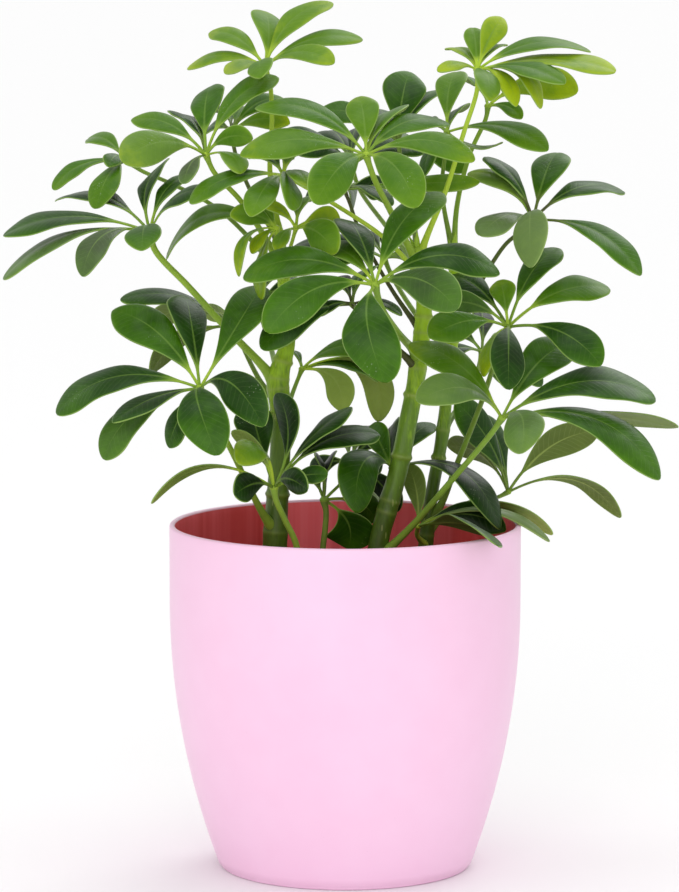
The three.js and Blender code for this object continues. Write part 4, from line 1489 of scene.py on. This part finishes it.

# Each leaflet's darker number sets its green, partly as painted shade and painted light.
LEAVES = (
    CompoundLeaf(
        "leaf_crown_left", "stem_left", Tone.YOUNG, (265, 66, 14), 1.0,
        ((270, 84, 13), (272, 118, 11), (270, 172, 8), (277, 232, 3)),
        (
            Leaflet(187, 69, 14, 14, darker=-0.14),
            Leaflet(225, 74, -16, 10, darker=-0.06, painted_sheen=0.12),
            Leaflet(209, 33, 24, 20, darker=-0.07), Leaflet(262, 11, 34, 30, darker=0.09),
            Leaflet(333, 3, 20, 21), Leaflet(363, 40, 8, 14), Leaflet(334, 64, -20, 16),
            Leaflet(261, 78, -34, 22),
        ),
        stalk_older=0.08,
    ),
    CompoundLeaf(
        "leaf_upper_left", "stem_left", Tone.GROWN, (206, 155, -14), 1.1,
        ((214, 172, -13), (240, 200, -8), (264, 236, 0), (283, 268, 2)),
        (
            Leaflet(131, 120, 14, 22, darker=0.06), Leaflet(172, 114, 32, 20, darker=0.44),
            Leaflet(212, 86, 34, 34, darker=0.14), Leaflet(278, 77, 18, 22),
            Leaflet(122, 162, -32, 33, darker=-0.1, painted_sheen=0.08),
            Leaflet(253, 139, -14, 22, darker=0.05),
            Leaflet(241, 174, -26, 12, bend=0.08),
            Leaflet(184, 184, -22, 13, darker=0.35, painted_sheen=0.15),
        ),
        stalklet=0.2,
        stalk_older=0.15,
    ),
    CompoundLeaf(
        "leaf_upper_left_rear", "stem_left", Tone.MATURE, (232, 130, 38), 0.9,
        ((235, 152, 36), (250, 190, 25), (279, 244, 4)),
        (
            Leaflet(284, 99, 14, 20, darker=-0.24), Leaflet(290, 124, -10, 20, darker=-0.43),
            Leaflet(214, 112, 34, 16), Leaflet(252, 112, 36, 16), Leaflet(204, 136, 22, 12),
        ),
        stalk_older=0.4,
    ),
    CompoundLeaf(
        "leaf_left_small", "stem_left", Tone.GROWN, (126, 161, 40), 0.9,
        ((142, 171, 40), (172, 184, 37), (222, 212, 22), (284, 276, 3)),
        (
            Leaflet(87, 140, 24, 18), Leaflet(53, 190, -8, 12, darker=0.12),
            Leaflet(96, 209, -32, 25, darker=0.08), Leaflet(108, 167, -22, 13, darker=0.23),
            Leaflet(158, 158, 26, 12), Leaflet(140, 142, 30, 12),
        ),
        stalklet=0.16,
        stalk_older=0.4,
    ),
    CompoundLeaf(
        "leaf_left_long", "stem_left", Tone.MATURE, (150, 232, 0), 1.4,
        ((155, 250, 0), (188, 286, 0), (230, 332, 0), (266, 370, -1), (279, 388, -1)),
        (
            Leaflet(3, 236, -2, 24, 0.13, darker=0.1), Leaflet(3, 280, -12, 12, painted_sheen=0.12),
            Leaflet(83, 277, -38, 23, 0.17, slender=0.3, bend=-0.12, darker=-0.01, painted_sheen=0.13),
            Leaflet(142, 251, -44, 30, darker=-0.11), Leaflet(58, 200, 36, 20, darker=0.24),
            Leaflet(166, 161, 30, 20, bend=0.09), Leaflet(192, 174, 22, 16),
            Leaflet(207, 190, -20, 10),
        ),
        stalklet=0.2,
        stalk_older=-0.05,
    ),
    CompoundLeaf(
        "leaf_crown_front", "stem_middle", Tone.GROWN, (366, 155, -38), 1.3,
        ((374, 178, -35), (392, 214, -20), (411, 252, -2), (422, 272, 1)),
        (
            Leaflet(255, 108, 14, 25, darker=0.07), Leaflet(240, 156, -10, 30),
            Leaflet(315, 204, -40, 42),
            Leaflet(358, 97, 24, 34), Leaflet(402, 112, 40, 20, darker=0.06),
            Leaflet(449, 124, 24, 22, darker=0.22), Leaflet(475, 161, -6, 25, darker=-0.06),
            Leaflet(416, 208, -38, 40),
        ),
        stalk_older=0.18,
    ),
    CompoundLeaf(
        "leaf_crown_rear", "stem_middle", Tone.MATURE, (398, 142, 56), 1.0,
        ((402, 165, 52), (412, 210, 30), (418, 254, 3)),
        (
            Leaflet(410, 72, 22, 44), Leaflet(442, 90, 26, 18), Leaflet(318, 112, 6, 22),
            Leaflet(345, 122, 34, 14), Leaflet(463, 173, -14, 20, darker=-0.1),
            Leaflet(372, 112, 36, 20),
        ),
        stalk_older=0.3,
    ),
    CompoundLeaf(
        "leaf_inner_left", "stem_middle", Tone.GROWN, (283, 175, -30), 0.9,
        ((300, 184, -29), (334, 204, -26), (382, 236, -18), (411, 266, -6), (422, 284, 1)),
        (
            Leaflet(190, 204, -10, 18, darker=0.06), Leaflet(251, 217, -32, 28, darker=0.09),
            Leaflet(291, 210, -34, 16, darker=0.06), Leaflet(310, 188, -28, 12, darker=-0.08),
            Leaflet(252, 158, 28, 16, darker=0.24), Leaflet(281, 148, 36, 20),
            Leaflet(304, 150, 28, 14),
        ),
        stalk_older=-0.12,
    ),
    CompoundLeaf(
        "leaf_young_centre", "stem_left", Tone.YOUNG, (296, 228, -28), 0.8,
        ((292, 242, -24), (286, 262, -12), (284, 278, 2)),
        (
            Leaflet(340, 222, 14, 24, darker=-0.19), Leaflet(337, 253, -26, 36),
            Leaflet(262, 204, 6, 12, darker=-0.24), Leaflet(277, 252, -18, 14),
            Leaflet(306, 198, 24, 16),
        ),
        stalklet=0.18,
        stalk_older=0.14,
    ),
    CompoundLeaf(
        "leaf_inner_hanging", "stem_left", Tone.GROWN, (276, 228, -16), 1.0,
        ((278, 240, -14), (281, 250, -6), (281, 256, 2)),
        (
            Leaflet(230, 216, -16, 22), Leaflet(239, 277, -14, 8, 0.34, slender=0.25, darker=-0.12),
            Leaflet(262, 300, -15, 14, darker=-0.22), Leaflet(252, 254, -10, 13, darker=-0.24),
            Leaflet(166, 260, 22, 21, 0.25), Leaflet(258, 206, 8, 14),
        ),
    ),
    CompoundLeaf(
        "leaf_centre_front", "stem_middle", Tone.OLD, (375, 285, -64), 1.4,
        ((380, 304, -60), (396, 330, -38), (415, 352, -6), (420, 358, -1)),
        (
            Leaflet(243, 279, 6, 36, 0.17, darker=-0.25),
            Leaflet(267, 333, -20, 42, 0.22, darker=-0.18),
            Leaflet(344, 220, 38, 32), Leaflet(312, 250, 34, 24, darker=-0.43),
            Leaflet(443, 193, 28, 36, darker=-0.21), Leaflet(500, 274, 10, 34, 0.18),
            Leaflet(457, 310, -36, 38, darker=-0.12, painted_sheen=0.06),
            Leaflet(385, 383, -30, 57, 0.28, bend=-0.16, darker=-0.07),
        ),
        stalk_older=-0.08,
    ),
    CompoundLeaf(
        "leaf_centre_rear", "stem_middle", Tone.OLD, (344, 189, 10), 0.8,
        ((350, 204, 10), (360, 232, 9), (392, 290, 5), (422, 332, 0)),
        (
            Leaflet(385, 194, 16, 26), Leaflet(392, 206, -22, 9), Leaflet(322, 168, 26, 14),
            Leaflet(306, 200, 16, 14), Leaflet(352, 212, 30, 16),
            Leaflet(480, 182, 2, 17, 0.01, slender=0.16, darker=-0.45),
        ),
        stalk_older=0.45,
    ),
    CompoundLeaf(
        "leaf_centre_under", "stem_middle", Tone.OLD, (352, 304, -18), 1.0,
        ((362, 316, -16), (388, 340, -10), (418, 368, -2)),
        (
            Leaflet(262, 350, -12, 30, darker=-0.09), Leaflet(318, 316, -6, 12),
            Leaflet(374, 268, 26, 16, darker=-0.24), Leaflet(402, 316, -8, 9),
            Leaflet(330, 280, 26, 20, darker=0.24), Leaflet(366, 348, -28, 22),
        ),
        stalk_older=0.4,
    ),
    CompoundLeaf(
        "leaf_crown_right", "stem_middle", Tone.NEW, (477, 70, 4), 1.0,
        ((477, 90, 4), (464, 132, 4), (446, 190, 3), (424, 244, 2), (419, 262, 2)),
        (
            Leaflet(438, 72, -16, 10, darker=-0.18), Leaflet(447, 50, 22, 13),
            Leaflet(473, 28, 18, 22, darker=0.1), Leaflet(503, 18, 18, 26, bend=-0.04, darker=-0.02),
            Leaflet(591, 52, 8, 16, darker=0.22), Leaflet(616, 72, -10, 11, 0.085, darker=-0.14),
            Leaflet(565, 84, -26, 15, 0.11, darker=0.31), Leaflet(489, 101, -34, 23, darker=0.17),
            Leaflet(505, 46, 22, 10, darker=0.13), Leaflet(516, 107, -18, 13, 0.26, darker=-0.16),
            Leaflet(541, 109, -8, 14, 0.3, darker=-0.16),
        ),
        stalk_older=-0.1,
    ),
    CompoundLeaf(
        "leaf_crown_right_rear", "stem_right", Tone.MATURE, (488, 106, 42), 1.0,
        ((486, 118, 41), (470, 154, 34), (457, 206, 27), (455, 262, 21)),
        (
            Leaflet(578, 92, -14, 30, darker=-0.42), Leaflet(522, 119, -12, 14, darker=-0.24),
            Leaflet(470, 84, 34, 14, darker=-0.06),
        ),
    ),
    CompoundLeaf(
        "leaf_upper_right_inner", "stem_right", Tone.MATURE, (447, 132, 22), 0.9,
        ((446, 148, 22), (442, 190, 20), (449, 256, 20)),
        (
            Leaflet(457, 72, 30, 30, darker=-0.33), Leaflet(548, 151, -18, 19, darker=-0.23),
            Leaflet(466, 110, 26, 8), Leaflet(503, 142, -8, 6, -0.17, painted_sheen=0.2, darker=-0.12),
            Leaflet(424, 177, -22, 12), Leaflet(420, 128, 24, 12),
        ),
        stalk_older=0.12,
    ),
    CompoundLeaf(
        "leaf_right_upper", "stem_right", Tone.MATURE, (533, 220, 6), 0.9,
        ((520, 232, 8), (505, 245, 12), (478, 286, 20), (455, 322, 23)),
        (
            Leaflet(485, 157, 20, 18, darker=0.06),
            Leaflet(468, 173, 20, 21, painted_sheen=0.1, darker=-0.38),
            Leaflet(480, 236, -32, 17, darker=-0.13, painted_sheen=0.2), Leaflet(558, 153, 36, 36),
            Leaflet(624, 192, 28, 19, darker=0.06), Leaflet(641, 276, -18, 26, 0.17, darker=-0.07),
            Leaflet(531, 268, -42, 36, 0.3, darker=-0.14, painted_sheen=0.24),
        ),
        stalklet=0.17,
        stalk_older=0.5,
    ),
    CompoundLeaf(
        "leaf_right_middle", "stem_right", Tone.OLD, (508, 327, -14), 1.1,
        ((500, 346, -10), (483, 398, 4), (457, 464, 18), (440, 506, 24), (431, 520, 26)),
        (
            Leaflet(558, 248, 26, 28, darker=-0.3), Leaflet(610, 289, 20, 32, darker=-0.35),
            Leaflet(601, 366, -26, 34), Leaflet(508, 390, -40, 36, 0.22),
            Leaflet(429, 338, -28, 30, darker=-0.35), Leaflet(450, 276, 26, 26, darker=0.07),
            Leaflet(440, 306, 6, 26, painted_sheen=0.06, darker=-0.27),
            Leaflet(500, 280, 12, 27, darker=-0.49),
            Leaflet(484, 377, -22, 15, 0.2, darker=-0.66),
        ),
        stalklet=0.22,
        stalk_older=0.08,
    ),
    CompoundLeaf(
        "leaf_right_low_front", "stem_middle", Tone.MATURE, (502, 418, -42), 1.25,
        ((491, 434, -40), (452, 480, -30), (410, 528, -14), (380, 560, -6)),
        (
            Leaflet(521, 454, -42, 42, 0.18, slender=0.42, bend=0.1, darker=-0.06, painted_sheen=0.14),
            Leaflet(660, 480, -8, 30, 0.2), Leaflet(656, 400, 14, 36, 0.19, darker=0.05),
            Leaflet(570, 344, 34, 44), Leaflet(409, 344, 17, 34, darker=-0.39),
            Leaflet(417, 402, -26, 27, 0.23, darker=-0.12, painted_sheen=0.14),
            Leaflet(677, 428, 36, -13, 0.05),
        ),
        stalk_older=0.08,
    ),
    CompoundLeaf(
        "leaf_right_low_rear", "stem_right", Tone.MATURE, (508, 492, 44), 0.9,
        ((498, 497, 42), (470, 502, 36), (442, 518, 30), (431, 534, 27)),
        (
            Leaflet(621, 518, 6, -12, 0.24, slender=0.25, darker=0.06),
            Leaflet(599, 430, -12, -36, darker=0.03), Leaflet(455, 402, -14, 30, 0.08),
            Leaflet(484, 414, 20, 20, 0.08), Leaflet(447, 446, 24, -16),
        ),
        stalklet=0.18,
        stalk_older=0.18,
    ),
    CompoundLeaf(
        "leaf_inner_right_arched", "stem_middle", Tone.SHADED, (392, 468, 14), 1.0,
        ((392, 482, 9), (391, 500, -4)),
        (
            Leaflet(500, 530, -26, 22, 0.27, darker=-0.02), Leaflet(434, 424, 22, 22, darker=-0.24),
            Leaflet(372, 424, 24, 26, 0.08, darker=-0.41),
            Leaflet(356, 513, -38, 44, 0.25, bend=-0.15, darker=-0.13), Leaflet(394, 424, 30, 18),
        ),
        stalklet=0.06,
    ),
    CompoundLeaf(
        "leaf_over_rim", "stem_right", Tone.GROWN, (418, 526, 4), 0.9,
        ((417, 535, 12), (423, 546, 26)),
        (
            Leaflet(497, 546, -78, -15, 0.085, slender=0.24, darker=0.3),
            Leaflet(553, 535, 6, -11, 0.195, slender=0.22, darker=0.06),
            Leaflet(550, 542, -8, 7, 0.205, slender=0.14, darker=0.1, painted_sheen=0.3),
            Leaflet(506, 531, -4, 32, darker=0.45), Leaflet(408, 464, 10, -22, 0.06, darker=0.19),
        ),
    ),
    CompoundLeaf(
        "leaf_low_left_inner", "soil", Tone.OLD, (274, 488, -36), 1.3,
        ((276, 500, -36), (285, 520, -34), (297, 548, -32)),
        (
            Leaflet(151, 504, -8, -8, 0.24, slender=0.2, darker=-0.3),
            Leaflet(237, 463, -30, 6, 0.3, darker=-0.56), Leaflet(231, 432, 6, -16, darker=-0.3),
            Leaflet(234, 495, -30, 30, 0.1, darker=0.07),
            Leaflet(352, 407, 14, 17, 0.08, darker=-0.01),
            Leaflet(380, 435, 20, 23, darker=0.05), Leaflet(328, 475, -4, 18, 0.1, darker=-0.02),
            Leaflet(308, 490, -26, 28, 0.2, darker=0.06),
            Leaflet(277, 393, 14, 26, 0.06, bend=-0.22, darker=0.15),
            Leaflet(250, 404, 34, 40, 0.06, darker=-0.04),
        ),
        stalklet=0.26,
        stalk_older=-0.1,
    ),
    CompoundLeaf(
        "leaf_low_centre", "soil", Tone.SHADED, (324, 500, -12), 1.3,
        ((326, 512, -12), (325, 530, -12), (323, 548, -12)),
        (
            Leaflet(381, 457, 24, 30, 0.08, darker=-0.08), Leaflet(318, 456, 22, 10),
            Leaflet(304, 474, 22, 14), Leaflet(332, 456, 26, 13, darker=0.24),
            Leaflet(376, 522, 24, 30, darker=-0.24), Leaflet(348, 549, 10, 50, 0.2, darker=-0.24),
        ),
        stalklet=0.22,
    ),
    CompoundLeaf(
        "leaf_left_low_front", "stem_left", Tone.OLD, (200, 388, -48), 1.2,
        ((206, 404, -46), (228, 444, -38), (262, 512, -12), (276, 532, -4)),
        (
            Leaflet(56, 414, 6, 28, 0.19, darker=-0.05), Leaflet(112, 311, 28, 43, darker=-0.1),
            Leaflet(185, 296, 38, 38, bend=0.05, darker=0.06),
            Leaflet(262, 286, 38, 42, bend=-0.15, darker=-0.12),
            Leaflet(264, 427, -36, 40, 0.29, darker=0.08),
            Leaflet(217, 456, -42, 50, 0.26, bend=-0.12, darker=-0.04),
            Leaflet(113, 423, -26, 20, 0.08),
            Leaflet(104, 460, -8, 28, darker=-0.12, painted_sheen=0.06),
            Leaflet(169, 448, 10, 24, 0.05, darker=-0.08),
        ),
        stalk_older=-0.15,
    ),
    CompoundLeaf(
        "leaf_left_low_rear", "stem_left", Tone.MATURE, (235, 326, 34), 1.0,
        ((240, 340, 30), (262, 384, 8), (279, 408, -2)),
        (
            Leaflet(120, 300, 2, 15, 0.13), Leaflet(154, 322, 26, -20), Leaflet(150, 374, -8, -22),
            Leaflet(206, 318, 30, -14, darker=-0.24), Leaflet(300, 322, 8, 14),
        ),
        stalklet=0.16,
        stalk_older=0.22,
    ),
    CompoundLeaf(
        "leaf_between_stems", "stem_left", Tone.MATURE, (302, 369, 24), 0.9,
        ((296, 384, 20), (286, 410, 4), (281, 418, -2)),
        (
            Leaflet(372, 350, -12, 18, darker=-0.23), Leaflet(378, 382, 12, 11),
            Leaflet(342, 412, -24, -30, 0.2, darker=-0.45),
            Leaflet(379, 422, 22, -24, 0.3, bend=-0.14, darker=-0.66),
            Leaflet(290, 350, 12, 8, darker=0.12),
        ),
        stalklet=0.15,
    ),
    CompoundLeaf(
        "leaf_rear_upper", "stem_middle", Tone.OLD, (352, 166, 86), 1.0,
        ((358, 186, 82), (386, 226, 50), (417, 270, 3)),
        (
            Leaflet(296, 154, -26, 20), Leaflet(270, 138, 14, 18), Leaflet(320, 134, 40, 22),
            Leaflet(366, 128, 44, 26), Leaflet(414, 140, 28, 22), Leaflet(424, 154, -16, 8),
        ),
    ),
    CompoundLeaf(
        "leaf_rear_middle", "stem_right", Tone.OLD, (384, 258, 84), 1.1,
        ((392, 276, 78), (420, 320, 48), (450, 354, 24)),
        (
            Leaflet(324, 262, -22, 20), Leaflet(290, 250, 18, 20), Leaflet(351, 238, 40, 20),
            Leaflet(400, 234, 38, 22), Leaflet(436, 266, 24, 20), Leaflet(444, 288, -22, 20),
        ),
    ),
    CompoundLeaf(
        "leaf_rear_left", "stem_left", Tone.OLD, (258, 300, 78), 1.1,
        ((262, 318, 72), (272, 352, 38), (282, 378, -1)),
        (
            Leaflet(236, 314, 20, 18), Leaflet(260, 268, 40, 18), Leaflet(284, 270, 40, 24),
            Leaflet(314, 292, 22, 22), Leaflet(294, 326, -14, 20), Leaflet(242, 328, -8, 16),
        ),
    ),
    CompoundLeaf(
        "leaf_rear_right", "stem_right", Tone.OLD, (482, 352, 86), 1.1,
        ((478, 370, 80), (462, 402, 50), (446, 430, 26)),
        (
            Leaflet(432, 366, -22, 20), Leaflet(430, 330, 24, 22), Leaflet(474, 306, 44, 24),
            Leaflet(512, 348, 26, 18), Leaflet(542, 386, 10, 20), Leaflet(506, 386, -34, 20),
        ),
    ),
    CompoundLeaf(
        "leaf_rear_low", "stem_middle", Tone.SHADED, (350, 462, 66), 1.0,
        ((356, 474, 60), (378, 500, 26), (386, 512, -5)),
        (
            Leaflet(312, 478, 12, 22), Leaflet(330, 432, 38, 24), Leaflet(372, 428, 38, 24),
            Leaflet(402, 440, 22, 24), Leaflet(398, 512, -10, 26),
        ),
    ),
)


# The studio


@dataclass(frozen=True)
class SoftLight:
    """A square soft light that is aimed at the plant."""

    name: str
    place: tuple[float, float, float]
    size: float
    power: float
    aim: tuple[float, float, float] = (0.0, 0.0, 0.2)
    off_upright: float = 0.001

    def build(self) -> None:
        """Hangs the light."""
        lamp = bpy.data.lights.new(self.name, "AREA")
        lamp.shape = "SQUARE"
        lamp.size = self.size
        lamp.energy = self.power
        back = unit(np.array(self.place) - np.array(self.aim))
        right = unit(np.cross(UP + self.off_upright, back))
        turn = np.eye(4)
        turn[:3, :3] = np.stack([right, np.cross(back, right), back], axis=1)
        turn[:3, 3] = self.place
        stand(self.name, lamp).matrix_world = turn.T.tolist()


@dataclass(frozen=True)
class FarLight:
    """An even light from far off, tilted from overhead towards the back and then turned."""

    name: str
    strength: float
    spread_deg: float
    tilt_deg: float
    turn_deg: float = 0.0

    def build(self) -> None:
        """Hangs the light."""
        lamp = bpy.data.lights.new(self.name, "SUN")
        lamp.energy = self.strength
        lamp.angle = math.radians(self.spread_deg)
        turn = (math.radians(-self.tilt_deg), 0.0, math.radians(self.turn_deg))
        stand(self.name, lamp).rotation_euler = turn


@dataclass(frozen=True)
class Studio:
    """A pale floor, soft light and the photograph's camera."""

    floor_reach: float = 60.0
    floor_grey: float = 0.93
    floor_rough: float = 0.9
    floor_gloss: float = 0.1
    sky: float = 0.74
    lights: tuple[SoftLight | FarLight, ...] = (
        FarLight("ceiling_light", 0.6, 40.0, 0.0),
        FarLight("back_light", 0.62, 36.0, 50.0, -25.0),
        SoftLight("front_softbox", (-0.35, -2.45, 1.0), 1.8, 16.5),
    )

    def floor(self) -> None:
        """Lays the floor: one flat sheet under the pot."""
        mesh = bpy.data.meshes.new("studio_floor")
        corners = np.array([(-1.0, -1.0, 0.0), (1.0, -1.0, 0.0), (1.0, 1.0, 0.0), (-1.0, 1.0, 0.0)])
        mesh.from_pydata((self.floor_reach * corners).tolist(), [], [(0, 1, 2, 3)])
        material, _, shader = new_material("studio_floor")
        shader.inputs["Base Color"].default_value = (self.floor_grey,) * 3 + (1.0,)
        shader.inputs["Roughness"].default_value = self.floor_rough
        shader.inputs["Specular IOR Level"].default_value = self.floor_gloss
        mesh.materials.append(material)
        stand("studio_floor", mesh)

    def camera(self) -> None:
        """Sets up the photograph's camera."""
        data = bpy.data.cameras.new("photo_camera")
        data.sensor_width = VIEW.sensor
        data.lens = VIEW.focal / VIEW.rows * VIEW.sensor
        data.clip_end = 4 * self.floor_reach
        holder = stand("photo_camera", data)
        holder.location = VIEW.eye * MM
        holder.rotation_euler = (math.radians(90.0 - VIEW.pitch_deg), 0.0, 0.0)
        bpy.context.scene.camera = holder

    def build(self) -> None:
        """Sets up camera, floor, lights and sky."""
        self.camera()
        self.floor()
        for light in self.lights:
            light.build()
        world = bpy.data.worlds.new("studio_sky")
        world.use_nodes = True
        background = world.node_tree.nodes["Background"]
        background.inputs["Color"].default_value = (1.0, 1.0, 1.0, 1.0)
        background.inputs["Strength"].default_value = self.sky
        bpy.context.scene.world = world
        bpy.context.scene.view_settings.view_transform = "Standard"


def main() -> None:
    """Builds the studio, the pot, the soil, the stems and the leaves."""
    logging.basicConfig(level=logging.INFO, format="%(name)s: %(message)s")
    Studio().build()
    groups = Groups()
    shape = PotShape()
    Pot(shape).build(PlasticFinish().build(groups))
    Soil(shape).build(SoilFinish().build(groups))
    stems = {stem.name: stem for stem in STEMS}
    bark = StemFinish().build(groups)
    for stem in STEMS:
        carried = [leaf for leaf in LEAVES if leaf.carrier == stem.name]
        stem.build(bark, [stem.nearest(VIEW.place(leaf.stalk[-1])) for leaf in carried])
    mature = LeafFinish("leaf_mature", roughness=0.3).build(groups)
    young = LeafFinish("leaf_young", roughness=0.38, dust_share=0.0).build(groups)
    for seed, leaf in enumerate(LEAVES):
        tender = leaf.age in (Tone.NEW, Tone.YOUNG)
        finish, slot = (young, "leaf_young") if tender else (mature, "leaf_mature")
        leaf.build(finish, slot, stems, seed)


if __name__ == "__main__":
    main()
